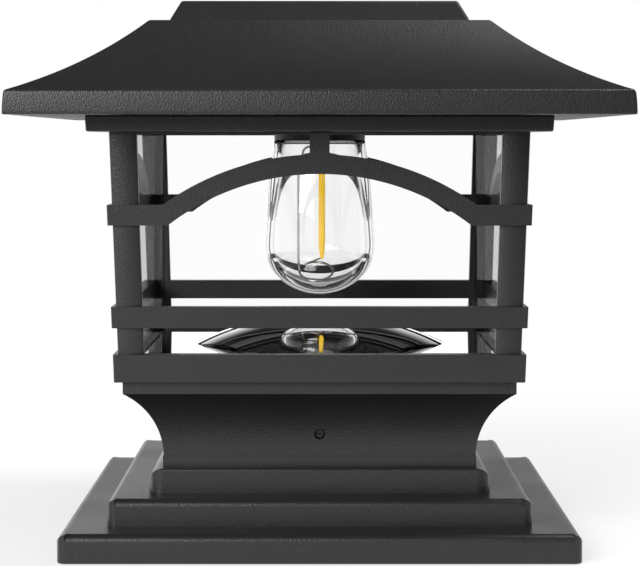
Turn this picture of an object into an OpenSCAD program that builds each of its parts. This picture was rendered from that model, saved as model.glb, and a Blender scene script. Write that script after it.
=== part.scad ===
// Solar lantern cap for a square deck post.
// Millimetres, +Z up. Origin: centre of the base, on its bottom face. The front faces -Y.

/* [Post base] */
// Width of the lowest tier of the skirt
tier_1_w = 147.5; // [147:0.5:149]
// Width of the middle tier
tier_2_w = 121.8; // [121.4:0.1:123]
// Width of the top tier
tier_3_w = 99.6; // [99.4:0.1:100.6]
// Height of the lowest tier
tier_1_h = 8.2; // [7.9:0.1:8.6]
// Height of the middle tier
tier_2_h = 7.8; // [7.6:0.1:8.2]
// Height of the top tier
tier_3_h = 7.2; // [7:0.1:7.6]
// Width of the largest wooden post
post_large_w = 139.7; // [139:0.1:140]
// Width of the middle wooden post
post_medium_w = 114.3; // [114:0.1:114.6]
// Width of the smallest wooden post
post_small_w = 88.9; // [88:0.1:89.5]
// Distance between the holes for the post screws
mount_pitch = 60; // [50:1:62]
// Radius of the holes for the post screws
mount_hole_r = 2.25; // [2:0.05:2.6]

/* [Neck] */
// Height of the neck
neck_h = 26.15; // [26.05:0.05:26.3]
// Width of the straight rim at the foot of the neck
neck_foot_w = 91.6; // [91.4:0.1:92]
// Width of the flat band at the top of the neck
neck_top_w = 112.9; // [112.5:0.1:113.3]
// Radius of the cove
cove_r = 23.3; // [23.1:0.1:23.5]
// Height of the side screws above the foot of the neck
lock_screw_h = 9.7; // [9:0.1:10]

/* [Window frame] */
// Width across the corner posts at the top of the wide rail
cage_low_w = 115.1; // [114.9:0.1:115.5]
// Width across the corner posts at the collar
cage_high_w = 119.1; // [118.9:0.1:119.5]
// Height of the wide rail
wide_rail_h = 8; // [7.6:0.1:8.2]
// Height of the windows, from the wide rail to the collar
window_h = 63.45; // [63:0.05:64.5]
// Gap between the wide rail and the narrow rail
rail_gap = 7.6; // [7:0.1:8.2]
// Height of the narrow rail
narrow_rail_h = 6.1; // [5.5:0.1:6.6]
// How far the rails stand out past the corner posts
rail_proud = 1.45; // [1:0.05:1.6]
// Thickness of the moulded posts
cage_t = 2.6; // [2.4:0.1:2.7]
// Width of a corner post at its foot
post_foot_w = 7.35; // [7:0.05:8]
// Radius of the lower edge of the arch
arch_r = 70.9; // [70.4:0.1:71.4]
// Height of the arched bar
arch_h = 5.55; // [5:0.05:6]
// Height of the tabs where the arch wraps the corner posts
tab_h = 5.85; // [5.5:0.05:6.2]
// Width of the upright above the arch
stub_w = 5.65; // [5:0.05:6.5]

/* [Shade, reflector and bulb] */
// Width across the clear shade at its top edge
shade_w = 107.4; // [107:0.1:107.8]
// Thickness of the clear shade
shade_t = 1.4; // [1.2:0.1:1.6]
// Height of the mirrored dome
dome_h = 8.4; // [6:0.1:9]
// Radius of the mirrored dome at its foot
dome_r = 38.5; // [36:0.5:40]
// Largest radius of the bulb
bulb_r = 17.25; // [17:0.05:17.6]
// Radius of the bulb where it leaves its collar
bulb_neck_r = 14.1; // [13.9:0.05:14.4]
// Thickness of the bulb's wall
bulb_t = 1.5; // [1.2:0.1:1.6]
// Diameter of the filament
filament_d = 1.9; // [1.6:0.1:2.2]

/* [Roof] */
// Width of the eaves
eave_w = 172; // [171.8:0.1:172.4]
// Height of the roof from the eaves to its flat top
roof_h = 27.5; // [27.3:0.1:27.7]
// Radius of the hollow curve of the roof
roof_curve_r = 113.42; // [113.3:0.02:113.6]
// Width of the collar under the eaves
collar_w = 131.3; // [131:0.1:131.8]
// Height of the collar
collar_h = 4.55; // [4.5:0.05:4.8]
// Wall of the roof and the skirt
wall = 2.2; // [2.1:0.1:2.3]
// Width of the panel's frame at its foot
panel_low_w = 87.2; // [86.8:0.1:87.8]
// Width of the panel's frame at its top
panel_high_w = 80.3; // [80:0.1:80.8]
// Height of the panel's frame
panel_h = 6; // [5.9:0.1:6.4]

/* [Hidden] */
$fn = 96;

BLACK = [0.13, 0.13, 0.135];
STEEL = [0.62, 0.63, 0.65];
CLEAR = [0.85, 0.9, 0.95, 0.25];

// levels from the ground up
base_top = tier_1_h + tier_2_h + tier_3_h;
neck_top = base_top + neck_h;
wide_rail_top = neck_top + wide_rail_h;
narrow_rail_z = wide_rail_top + rail_gap;
collar_z = wide_rail_top + window_h;
eave_z = collar_z + collar_h;
roof_top = eave_z + roof_h;
panel_top = roof_top + panel_h;
arch_z = wide_rail_top - 19.4;
tab_z = wide_rail_top + 36.9;

reach = 100;
slip = 0.3;
thread_r = 1.25;
clearance_r = 1.6;

// window frame
cage_lean = (cage_high_w - cage_low_w) / 2 / window_h;
function cage_half(z) = cage_low_w / 2 + (z - wide_rail_top) * cage_lean;
post_lean = 0.026;
head_rail_h = 0.8;
head_rail_top = collar_z + 2.2;
lug_w = 16;
lug_h = 2.2;
tray_screw_at = 48.5;
collar_screw_at = 53.4;

// floor
lug_top = neck_top + lug_h;
tray_t = 2;
tray_top = lug_top + tray_t;
tray_w = 2 * (cage_half(lug_top) - cage_t) - 0.2;
seal_h = 0.8;
shade_z = tray_top + seal_h;
shade_top = collar_z - 0.5;
shade_lean = 0.0062;
function shade_half(z) = shade_w / 2 - (shade_top - z) * shade_lean;
mirror_z = neck_top + 6.1;
mirror_t = 1.2;

// roof
fascia_draft = 0.068;
curve_x = 122.39;
curve_z = eave_z + 113.88;
deck_t = 2.4;
deck_top = eave_z + deck_t;
deck_w = eave_w - 2 * wall - 0.8;
deck_screw_at = 73;
seal_groove_h = 1.2;
panel_hole_w = 75.8;
lead_hole_r = 5;
panel_lead_x = 2;
panel_lead_y = -24;
board_t = 1.6;
cells_t = 0.4;
panel_seal_h = 0.7;

// bulb
bulb_z = collar_z - 2.55;
bulb_wide_z = wide_rail_top + 28.6;
bulb_low = wide_rail_top + 13.3;
bulb_sleeve_r = bulb_neck_r - 1.4;
filament_x = 0.7;
filament_low = wide_rail_top + 23.9;
filament_top = wide_rail_top + 55.7;
wire_r = 0.35;
wire_x = -6.65;
base_h = 3.4;

// power
cell_r = 7.25;
cell_l = 49.2;
holder_y = 32;
holder_w = 62;
holder_d = 19.6;
holder_h = 18.4;
holder_wall = 1.6;
cell_z = deck_top + cell_r + 1.7;
door_y = holder_y - 9.5;
door_w = 57;
hinge_y = 41.4;
hinge_z = eave_z + 1.4;
hinge_r = 1.4;
pin_r = 0.8;
door_t = 2;
pcb_x = 24;
pcb_front = -44;
pcb_back = -20.5;
pcb_z = deck_top + 3;
pcb_t = 1.6;
pcb_hole_inset = 3;
lead_r = 0.6;
lamp_lead_x = 5;

// switch
switch_y = 72;
button_r = 3;
button_out = 1.6;
button_flange_h = 0.8;
switch_h = 4.8;

// Shared forms

// Cuts the same side profile from left to right and from front to back,
// which leaves a square form with mitred corners
module four_sided() {
    intersection() {
        rotate([90, 0, 0]) linear_extrude(2 * reach, center = true) children();
        rotate([90, 0, 90]) linear_extrude(2 * reach, center = true) children();
    }
}

// Square block whose half width changes evenly with height
module frustum(low_z, low_half, high_z, high_half) {
    four_sided()
        polygon([
            [-low_half, low_z], [low_half, low_z],
            [high_half, high_z], [-high_half, high_z]
        ]);
}

// Square slab with straight sides
module slab(low_z, high_z, half) {
    translate([-half, -half, low_z])
        cube([2 * half, 2 * half, high_z - low_z]);
}

// Square ring with straight sides
module square_ring(low_z, high_z, outer_half, inner_half) {
    difference() {
        slab(low_z, high_z, outer_half);
        slab(low_z - 1, high_z + 1, inner_half);
    }
}

// Places a form in the middle of each side
module on_four_sides(distance) {
    for (turn = [0:3])
        rotate(90 * turn) translate([0, -distance, 0]) children();
}

// Places a form at each corner of a square
module on_four_corners(distance) {
    for (x = [-1, 1], y = [-1, 1])
        translate([x * distance, y * distance, 0]) children();
}

// Screw with a slotted head; the top of its head is at z = 0 and its shank points down
module slotted_screw(head_r, head_h, shank_r, length) {
    slot_w = 0.26 * head_r;
    difference() {
        union() {
            translate([0, 0, -head_h]) cylinder(head_h, r = head_r);
            translate([0, 0, -length]) cylinder(length - head_h, r = shank_r);
        }
        translate([-head_r, -slot_w, -0.45 * head_h])
            cube([2 * head_r, 2 * slot_w, head_h]);
    }
}

// Wire of round section that runs straight from point to point, with round elbows
module wire(points, radius) {
    for (i = [0:len(points) - 2]) {
        step = points[i + 1] - points[i];
        length = norm(step);
        translate(points[i])
            rotate([0, acos(step[2] / length), atan2(step[1], step[0])])
                cylinder(length, r = radius, $fn = 32);
    }
    for (i = [1:1:len(points) - 2])
        translate(points[i]) sphere(radius, $fn = 32);
}

// Coil spring along Z, swept as one unbroken tube with flat ends
module coil_spring(coil_r, wire_r, height, turns) {
    sides = 6;
    rings = 12 * turns;
    rise = height - 2 * wire_r;
    points = [
        for (i = [0:rings], k = [0:sides - 1])
            let (turn = 360 * turns * i / rings, around = 360 * k / sides,
                 r = coil_r + wire_r * cos(around))
                [r * cos(turn), r * sin(turn),
                 wire_r + rise * i / rings + wire_r * sin(around)]
    ];
    walls = [
        for (i = [0:rings - 1], k = [0:sides - 1], half = [0, 1])
            let (a = i * sides + k, b = i * sides + (k + 1) % sides)
                half == 0 ? [a, b, a + sides] : [b, b + sides, a + sides]
    ];
    start_cap = [for (k = [1:sides - 2]) [0, k + 1, k]];
    last = rings * sides;
    end_cap = [for (k = [1:sides - 2]) [last, last + k, last + k + 1]];
    polyhedron(points, concat(walls, start_cap, end_cap));
}

// Post base

// Tier with rounded corners and a rounded top edge
module tier(low_z, high_z, half, side_r, edge_r) {
    inset = half - side_r;
    hull()
        on_four_corners(inset) {
            translate([0, 0, low_z]) cylinder(high_z - low_z - edge_r, r = side_r, $fn = 32);
            translate([0, 0, high_z - edge_r])
                rotate_extrude($fn = 32)
                    intersection() {
                        union() {
                            square([side_r - edge_r, edge_r]);
                            translate([side_r - edge_r, 0]) circle(edge_r, $fn = 24);
                        }
                        square(side_r);
                    }
        }
}

// Three-tier skirt: each tier clears one size of wooden post
module post_base() {
    tier_2_z = tier_1_h;
    tier_3_z = tier_1_h + tier_2_h;
    corner_r = 2.6;
    edge_r = 2.2;
    top_corner_r = 4.2;
    top_edge_r = 0.8;
    large_play = 1.7;
    medium_play = 1.6;
    small_play = 3;
    spigot_half = neck_foot_w / 2 - wall - slip - 0.2;
    spigot_h = 13;
    color(BLACK)
    difference() {
        union() {
            tier(0, tier_1_h, tier_1_w / 2, corner_r, edge_r);
            tier(tier_2_z - 1, tier_3_z, tier_2_w / 2, corner_r, edge_r);
            tier(tier_3_z - 1, base_top, tier_3_w / 2, top_corner_r, top_edge_r);
            slab(base_top - 1, base_top + spigot_h, spigot_half);
        }
        slab(-1, tier_2_z - wall, post_large_w / 2 + large_play);
        slab(-1, tier_3_z - wall, post_medium_w / 2 + medium_play);
        slab(-1, base_top - wall, post_small_w / 2 + small_play);
        slab(base_top, base_top + spigot_h + 1, spigot_half - wall);
        on_four_corners(mount_pitch / 2)
            translate([0, 0, base_top - 2 * wall]) cylinder(3 * wall, r = mount_hole_r);
        for (side = [-1, 1])
            translate([0, side * spigot_half, base_top + lock_screw_h])
                rotate([90, 0, 0]) cylinder(4 * wall, r = thread_r, center = true);
    }
}

// Outline of the neck: straight foot, hollow cove, flat band
module neck_outline(inset) {
    cove_x = neck_foot_w / 2 + cove_r - 0.2;
    cove_z = base_top + 2.9;
    foot_half = neck_foot_w / 2 - inset;
    top_half = neck_top_w / 2 - inset;
    difference() {
        translate([-top_half, base_top]) square([2 * top_half, neck_h]);
        for (side = [-1, 1])
            translate([side * cove_x, cove_z]) circle(cove_r + inset, $fn = 180);
    }
    translate([-foot_half, base_top]) square([2 * foot_half, 3.2]);
}

// Coved neck that slips over the spigot of the skirt
module neck() {
    flange_half = 42;
    boss_drop = 6;
    color(BLACK)
    difference() {
        intersection() {
            four_sided() neck_outline(0);
            union() {
                difference() {
                    slab(base_top, neck_top, reach);
                    intersection() {
                        four_sided() neck_outline(wall);
                        slab(base_top - 1, neck_top - wall, reach);
                    }
                }
                on_four_sides(tray_screw_at)
                    translate([0, 0, neck_top - boss_drop]) cylinder(boss_drop, r = 3);
            }
        }
        slab(neck_top - 2 * wall, neck_top + 1, flange_half);
        on_four_sides(tray_screw_at)
            translate([0, 0, neck_top - boss_drop - 1]) cylinder(boss_drop + 2, r = thread_r);
        for (side = [-1, 1])
            translate([0, side * neck_foot_w / 2, base_top + lock_screw_h])
                rotate([90, 0, 0]) cylinder(8, r = clearance_r, center = true);
    }
}

// Side screws that lock the neck to the spigot, sunk just below its surface
module lock_screws() {
    color([0.1, 0.1, 0.1])
    for (turn = [0, 180])
        rotate(turn)
            translate([0, -neck_foot_w / 2 - 0.2, base_top + lock_screw_h])
                rotate([90, 0, 0]) slotted_screw(1.5, 1.3, thread_r, 6.5);
}

// Window frame

// Corner posts, head rail and foot of one side, seen from the front
module post_outline() {
    foot = cage_low_w / 2 - post_foot_w;
    top = foot + post_lean * (head_rail_top - wide_rail_top);
    difference() {
        translate([-reach, neck_top]) square([2 * reach, head_rail_top - neck_top]);
        polygon([
            [-foot, wide_rail_top], [foot, wide_rail_top],
            [top, collar_z - head_rail_h], [-top, collar_z - head_rail_h]
        ]);
    }
}

// Rails, arch, tabs and upright of one side, seen from the front
module rail_outline() {
    tab_x = sqrt(pow(arch_r, 2) - pow(tab_z - arch_z, 2));
    translate([-reach, neck_top]) square([2 * reach, wide_rail_h]);
    translate([-reach, narrow_rail_z]) square([2 * reach, narrow_rail_h]);
    for (side = [0, 1])
        mirror([side, 0]) translate([tab_x, tab_z]) square([reach, tab_h]);
    intersection() {
        difference() {
            translate([0, arch_z]) circle(arch_r + arch_h, $fn = 240);
            translate([0, arch_z]) circle(arch_r, $fn = 240);
        }
        translate([-reach, tab_z]) square([2 * reach, reach]);
    }
    translate([-stub_w / 2, arch_z + arch_r + 1])
        square([stub_w, collar_z - arch_z - arch_r - 1]);
}

// Leaning shell between the posts' inner face and an outer face that stands proud
module cage_shell(proud, high_z) {
    difference() {
        frustum(neck_top, cage_half(neck_top) + proud, high_z, cage_half(high_z) + proud);
        frustum(
            neck_top - 1, cage_half(neck_top - 1) - cage_t,
            high_z + 1, cage_half(high_z + 1) - cage_t
        );
    }
}

// One side of the window frame, mitred at the corners, with a screw lug at foot and head
module window_frame() {
    foot_inner = cage_half(lug_top) - cage_t;
    color(BLACK)
    intersection() {
        linear_extrude(panel_top) polygon([[0, 0], [-reach, -reach], [reach, -reach]]);
        union() {
            intersection() {
                cage_shell(0, head_rail_top);
                rotate([90, 0, 0]) linear_extrude(reach) post_outline();
            }
            intersection() {
                cage_shell(rail_proud, collar_z);
                rotate([90, 0, 0]) linear_extrude(reach) rail_outline();
            }
            difference() {
                translate([-lug_w / 2, -foot_inner - 1, neck_top])
                    cube([lug_w, foot_inner - tray_screw_at + 6, lug_h]);
                translate([0, -tray_screw_at, neck_top - 1])
                    cylinder(lug_h + 2, r = clearance_r);
            }
            difference() {
                translate([-lug_w / 2, -cage_half(collar_z) + 0.5, collar_z])
                    cube([lug_w, cage_half(collar_z) - collar_screw_at + 2.1, lug_h]);
                translate([0, -collar_screw_at, collar_z - 1])
                    cylinder(lug_h + 2, r = 1);
            }
        }
    }
}

module frame_front() { window_frame(); }
module frame_right() { rotate(90) window_frame(); }
module frame_back() { rotate(180) window_frame(); }
module frame_left() { rotate(270) window_frame(); }

// Floor, shade and collar

// Tray that clamps the lugs of the four frames to the neck
module floor_tray() {
    half = tray_w / 2;
    color(BLACK)
    difference() {
        union() {
            slab(lug_top, tray_top, half);
            square_ring(tray_top, tray_top + 2.4, half, shade_half(shade_z) + 0.35);
            on_four_corners(half - 8)
                translate([0, 0, (neck_top + lug_top) / 2]) cube([9, 9, lug_h], center = true);
            on_four_corners(30)
                translate([0, 0, tray_top]) cylinder(mirror_z - mirror_t - tray_top, r = 3);
        }
        on_four_sides(tray_screw_at) {
            translate([0, 0, lug_top - 1]) cylinder(tray_t + 2, r = clearance_r);
            translate([0, 0, tray_top - 1.3]) cylinder(2, r = 2.8);
        }
    }
}

module tray_screws() {
    color(STEEL)
    on_four_sides(tray_screw_at)
        translate([0, 0, tray_top - 0.1]) slotted_screw(2.6, 1.2, thread_r, 9);
}

// Soft ring under the foot of the shade
module shade_seal() {
    outer = shade_half(shade_z) + 0.2;
    color([0.2, 0.2, 0.2])
    square_ring(tray_top, shade_z, outer, outer - shade_t - 0.4);
}

// Clear square shade with a slight draft
module clear_shade() {
    color(CLEAR)
    difference() {
        frustum(shade_z, shade_half(shade_z), shade_top, shade_half(shade_top));
        frustum(
            shade_z - 1, shade_half(shade_z - 1) - shade_t,
            shade_top + 1, shade_half(shade_top + 1) - shade_t
        );
    }
}

// Mirrored plate with a shallow dome under the bulb
module reflector() {
    half = shade_half(shade_z) - shade_t - 0.2;
    ball_r = (pow(dome_r, 2) + pow(dome_h, 2)) / (2 * dome_h);
    ball_z = mirror_z + dome_h - ball_r;
    color([0.8, 0.82, 0.84])
    difference() {
        union() {
            slab(mirror_z - mirror_t, mirror_z, half);
            intersection() {
                translate([0, 0, ball_z]) sphere(ball_r, $fn = 180);
                translate([0, 0, mirror_z - 0.5]) cylinder(dome_h + 1, r = dome_r);
            }
        }
        intersection() {
            translate([0, 0, ball_z]) sphere(ball_r - mirror_t, $fn = 180);
            translate([0, 0, mirror_z - 2 * mirror_t]) cylinder(dome_h + 3, r = dome_r + 1);
        }
    }
}

// Collar on top of the window frame
module top_collar() {
    inner = 50.5;
    flare = 0.3;
    head_r = 2.3;
    hole_r = 1.3;
    color(BLACK)
    difference() {
        frustum(collar_z, collar_w / 2 - flare / 2, eave_z, collar_w / 2 + flare / 2);
        slab(collar_z - 1, eave_z + 1, inner);
        slab(collar_z - 1, head_rail_top, cage_half(head_rail_top) + 0.2);
        on_four_sides(collar_screw_at) {
            cylinder(reach * 2, r = hole_r);
            translate([0, 0, eave_z - 1.3]) cylinder(2, r = head_r);
        }
    }
}

module collar_screws() {
    color(STEEL)
    on_four_sides(collar_screw_at)
        translate([0, 0, eave_z - 0.2]) slotted_screw(2.1, 1.1, 1, 4.2);
}

// Head

// Side view of the roof: upright fascia, hollow slope, flat top
module roof_outline(inset) {
    low = eave_w / 2 - inset;
    high = low - fascia_draft * roof_h;
    difference() {
        polygon([
            [-low, eave_z], [low, eave_z],
            [high, roof_top - inset], [-high, roof_top - inset]
        ]);
        for (side = [-1, 1])
            translate([side * curve_x, curve_z]) circle(roof_curve_r + inset, $fn = 360);
    }
}

module roof_shell() {
    boss_r = 3.2;
    color(BLACK)
    difference() {
        intersection() {
            four_sided() roof_outline(0);
            union() {
                difference() {
                    slab(eave_z, roof_top, reach);
                    four_sided() roof_outline(wall);
                    slab(eave_z - 1, deck_top, deck_w / 2 + slip);
                }
                on_four_corners(deck_screw_at)
                    translate([0, 0, deck_top]) cylinder(roof_h, r = boss_r);
            }
        }
        on_four_corners(deck_screw_at)
            translate([0, 0, deck_top - 1]) cylinder(6, r = thread_r);
        translate([0, panel_lead_y, roof_top - 2 * wall]) cylinder(3 * wall, r = lead_hole_r);
    }
}

// Ears that carry the pin of the battery door
module hinge_ears() {
    for (side = [-1, 1])
        translate([side * (door_w / 2 + 2.6), hinge_y, hinge_z + 0.4])
            cube([4, 4.4, 3.4], center = true);
}

// Flat deck that closes the roof from below and carries everything inside
module head_deck() {
    collar_gap = 0.15;
    door_gap = 0.4;
    screw_sink = 1.4;
    lip_half = 50;
    lip_t = 1.6;
    color([0.11, 0.11, 0.115])
    difference() {
        union() {
            slab(eave_z, deck_top, deck_w / 2);
            square_ring(eave_z - 2.3, eave_z, lip_half, lip_half - lip_t);
            intersection() {
                hinge_ears();
                slab(eave_z, deck_top + 4, reach);
            }
            for (x = [-1, 1], y = [pcb_front + pcb_hole_inset, pcb_back - pcb_hole_inset])
                translate([x * (pcb_x - pcb_hole_inset), y, deck_top - 1]) cylinder(4, r = 2.4);
        }
        square_ring(eave_z - 1, eave_z + seal_groove_h, 63, 60);
        translate([0, 0, eave_z - 1]) cylinder(deck_t + 2, r = bulb_neck_r + collar_gap);
        translate([-door_w / 2 - door_gap, door_y - door_gap, eave_z - 1])
            cube([door_w + 2 * door_gap, hinge_y + hinge_r + 0.3 - door_y + door_gap, deck_t + 2]);
        translate([-reach / 2, hinge_y, hinge_z]) rotate([0, 90, 0]) cylinder(reach, r = pin_r);
        translate([0, switch_y, eave_z - 1]) cylinder(deck_t + 2, r = button_r + slip);
        on_four_corners(deck_screw_at) {
            translate([0, 0, eave_z - 1]) cylinder(deck_t + 2, r = clearance_r);
            translate([0, 0, eave_z - 1]) cylinder(1 + screw_sink, r = 2.9);
        }
        for (x = [-1, 1], y = [pcb_front + pcb_hole_inset, pcb_back - pcb_hole_inset])
            translate([x * (pcb_x - pcb_hole_inset), y, deck_top + 0.2]) cylinder(4, r = 0.8);
    }
}

module deck_screws() {
    color(STEEL)
    on_four_corners(deck_screw_at)
        translate([0, 0, eave_z + 0.1])
            rotate([180, 0, 0]) slotted_screw(2.7, 1.2, thread_r, 7);
}

// Soft ring between the deck and the collar
module head_seal() {
    color([0.2, 0.2, 0.2])
    square_ring(eave_z, eave_z + seal_groove_h, 62.9, 60.1);
}

// Solar panel

module panel_frame() {
    glass_top = panel_top - 1.2;
    color(BLACK)
    difference() {
        frustum(roof_top, panel_low_w / 2, panel_top, panel_high_w / 2);
        slab(roof_top - 1, glass_top, panel_hole_w / 2);
        slab(roof_top, panel_top + 1, panel_hole_w / 2 - 1.6);
    }
}

module panel_board() {
    color([0.1, 0.25, 0.16])
    difference() {
        slab(roof_top, roof_top + board_t, panel_hole_w / 2 - 0.1);
        for (side = [-1, 1])
            translate([side * panel_lead_x, panel_lead_y, roof_top - 1])
                cylinder(board_t + 0.4, r = lead_r, $fn = 32);
    }
}

// Six strips of solar cell
module solar_cells() {
    strips = 6;
    gap = 0.8;
    length = 70;
    strip_w = (length - (strips - 1) * gap) / strips;
    color([0.06, 0.08, 0.2])
    for (i = [0:strips - 1])
        translate([-length / 2 + i * (strip_w + gap), -length / 2, roof_top + board_t])
            cube([strip_w, length, cells_t]);
}

module panel_seal() {
    color([0.2, 0.2, 0.2])
    square_ring(
        roof_top + board_t, roof_top + board_t + panel_seal_h,
        panel_hole_w / 2 - 0.1, panel_hole_w / 2 - 2
    );
}

module panel_glass() {
    color(CLEAR)
    slab(roof_top + board_t + panel_seal_h, panel_top - 1.2, panel_hole_w / 2 - 0.1);
}

// Two leads from the panel down to the circuit board
module panel_leads() {
    color([0.7, 0.1, 0.1])
    for (side = [-1, 1])
        translate([side * panel_lead_x, panel_lead_y, pcb_z + pcb_t])
            cylinder(roof_top + 0.6 - pcb_z - pcb_t, r = lead_r, $fn = 32);
}

// Power

module battery_holder() {
    inner_w = holder_w - 2 * holder_wall;
    inner_d = holder_d - 2 * holder_wall;
    color([0.1, 0.1, 0.1])
    difference() {
        translate([-holder_w / 2, holder_y - holder_d / 2, deck_top])
            cube([holder_w, holder_d, holder_h]);
        translate([-inner_w / 2, holder_y - inner_d / 2, deck_top - 1])
            cube([inner_w, inner_d, holder_h - holder_wall + 1]);
        hinge_ears();
        translate([0, hinge_y, hinge_z]) rotate([0, 90, 0])
            cylinder(holder_w + 4, r = hinge_r + 0.4, center = true);
        for (side = [-1, 1])
            translate([side * holder_w / 2, holder_y, cell_z + 5])
                rotate([0, 90, 0]) cylinder(2 * holder_wall + 1, r = lead_r, center = true);
    }
}

// Rechargeable cell with its raised end
module battery() {
    color([0.15, 0.45, 0.25])
    translate([-cell_l / 2 + 1, holder_y, cell_z]) rotate([0, 90, 0]) {
        cylinder(cell_l, r = cell_r);
        translate([0, 0, cell_l]) cylinder(1.3, r = 2.75);
    }
}

// Contact plates at the ends of the holder
module battery_plates() {
    inner_half = holder_w / 2 - holder_wall;
    plate_t = 0.5;
    color(STEEL) {
        translate([inner_half - plate_t, holder_y - 6, cell_z - 6]) cube([plate_t, 12, 12]);
        translate([-inner_half, holder_y - 6, cell_z - 6]) cube([plate_t, 12, 12]);
        translate([cell_l / 2 + 2.3, holder_y - 3, cell_z - 3])
            cube([inner_half - plate_t - cell_l / 2 - 2.3, 6, 6]);
    }
}

module battery_spring() {
    inner_half = holder_w / 2 - holder_wall;
    gap = inner_half - 0.5 - cell_l / 2 + 1;
    color(STEEL)
    translate([-inner_half + 0.5, holder_y, cell_z])
        rotate([0, 90, 0]) coil_spring(3.6, 0.35, gap, 4);
}

// Two leads from the ends of the holder round to the circuit board
module battery_leads() {
    color([0.75, 0.1, 0.1])
    for (side = [-1, 1])
        wire([
            [side * (holder_w / 2 - holder_wall), holder_y, cell_z + 5],
            [side * (holder_w / 2 + 3), holder_y, cell_z + 5],
            [side * (holder_w / 2 + 3), -32, cell_z + 5],
            [side * 20, -32, cell_z + 5],
            [side * 20, -32, pcb_z + pcb_t]
        ], lead_r);
}

// Door under the battery, with a rolled edge that turns on the pin
module battery_door() {
    color(BLACK)
    difference() {
        union() {
            translate([-door_w / 2, door_y, eave_z]) cube([door_w, hinge_y - door_y, door_t]);
            translate([-door_w / 2, hinge_y, hinge_z])
                rotate([0, 90, 0]) cylinder(door_w, r = hinge_r);
        }
        translate([-reach / 2, hinge_y, hinge_z])
            rotate([0, 90, 0]) cylinder(reach, r = pin_r + 0.05);
        translate([0, door_y, eave_z]) rotate([90, 0, 0])
            cylinder(5, r = 1.2, center = true);
        for (i = [0:4])
            translate([-8, door_y + 2.5 + 1.6 * i, eave_z - 0.6]) cube([16, 0.7, 1]);
    }
}

module door_pin() {
    length = door_w + 7;
    color(STEEL)
    translate([-length / 2, hinge_y, hinge_z]) rotate([0, 90, 0]) cylinder(length, r = pin_r);
}

// Circuit board with its chip, coil, capacitor and sockets
module circuit_board() {
    top = pcb_z + pcb_t;
    color([0.08, 0.35, 0.2])
    difference() {
        union() {
            translate([-pcb_x, pcb_front, pcb_z])
                cube([2 * pcb_x, pcb_back - pcb_front, pcb_t]);
            translate([-14, -41, top]) cube([6, 5, 1.6]);
            translate([9, -36, top]) cylinder(5, r = 3.2);
            translate([-12, -29, top]) cylinder(3, r = 2.6);
            translate([2, -42, top]) cube([5, 2.6, 1.2]);
        }
        for (x = [-1, 1], y = [pcb_front + pcb_hole_inset, pcb_back - pcb_hole_inset])
            translate([x * (pcb_x - pcb_hole_inset), y, pcb_z - 1]) cylinder(4, r = 1);
    }
}

module board_screws() {
    color(STEEL)
    for (x = [-1, 1], y = [pcb_front + pcb_hole_inset, pcb_back - pcb_hole_inset])
        translate([x * (pcb_x - pcb_hole_inset), y, pcb_z + pcb_t + 1])
            slotted_screw(1.8, 1, 0.8, 5);
}

// Two leads from the board to the base of the bulb
module lamp_leads() {
    color([0.1, 0.1, 0.1])
    for (x = [-lamp_lead_x, lamp_lead_x])
        wire([
            [x, 0, bulb_z + base_h],
            [x, 0, pcb_z + 8],
            [x, -22.5, pcb_z + 8],
            [x, -22.5, pcb_z + pcb_t]
        ], lead_r);
}

// Bulb

// Black collar that holds the bulb in the deck
module bulb_collar() {
    flange_h = 2;
    color(BLACK)
    difference() {
        union() {
            translate([0, 0, bulb_z]) cylinder(deck_top + flange_h - bulb_z, r = bulb_neck_r);
            translate([0, 0, deck_top]) cylinder(flange_h, r = 17.8);
        }
        translate([0, 0, bulb_z - 1]) cylinder(30, r = bulb_sleeve_r);
    }
}

// Plug inside the neck of the bulb
module bulb_base() {
    color([0.85, 0.85, 0.82])
    difference() {
        translate([0, 0, bulb_z + 0.4]) cylinder(base_h, r = bulb_sleeve_r - bulb_t);
        for (x = [-lamp_lead_x, lamp_lead_x])
            translate([x, 0, bulb_z + base_h]) cylinder(2, r = lead_r, $fn = 32);
        translate([filament_x, 0, bulb_z - 1]) cylinder(2.4, r = wire_r, $fn = 32);
        translate([wire_x, 0, bulb_z - 1]) cylinder(2.4, r = wire_r, $fn = 32);
    }
}

// Outline of the bulb: long taper above, flattened round end below, sleeve at the top
function bulb_outline(inset) = concat(
    [
        for (i = [0:14])
            let (angle = 90 * i / 14)
                [(bulb_r - inset) * sin(angle),
                 bulb_wide_z - (bulb_wide_z - bulb_low - inset) * cos(angle)]
    ],
    [
        [bulb_r - inset - 0.1, bulb_wide_z + 2],
        [bulb_neck_r - inset, bulb_z]
    ]
);

module bulb_glass() {
    sleeve_top = bulb_z + 5;
    color(CLEAR)
    rotate_extrude()
        difference() {
            union() {
                polygon(concat(bulb_outline(0), [[0, bulb_z]]));
                translate([0, bulb_z - 1]) square([bulb_sleeve_r, sleeve_top - bulb_z + 1]);
            }
            polygon(concat(bulb_outline(bulb_t), [[0, bulb_z]]));
            translate([-1, bulb_z - 1])
                square([bulb_sleeve_r - bulb_t + 1, sleeve_top - bulb_z + 2]);
        }
}

// Straight filament with a tapered tip
module filament() {
    r = filament_d / 2;
    taper = 5;
    color([0.95, 0.72, 0.15])
    translate([filament_x, 0, 0]) {
        translate([0, 0, filament_low + taper])
            cylinder(filament_top - filament_low - taper, r = r);
        translate([0, 0, filament_low]) cylinder(taper, r1 = 0.45 * r, r2 = r);
    }
}

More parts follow.
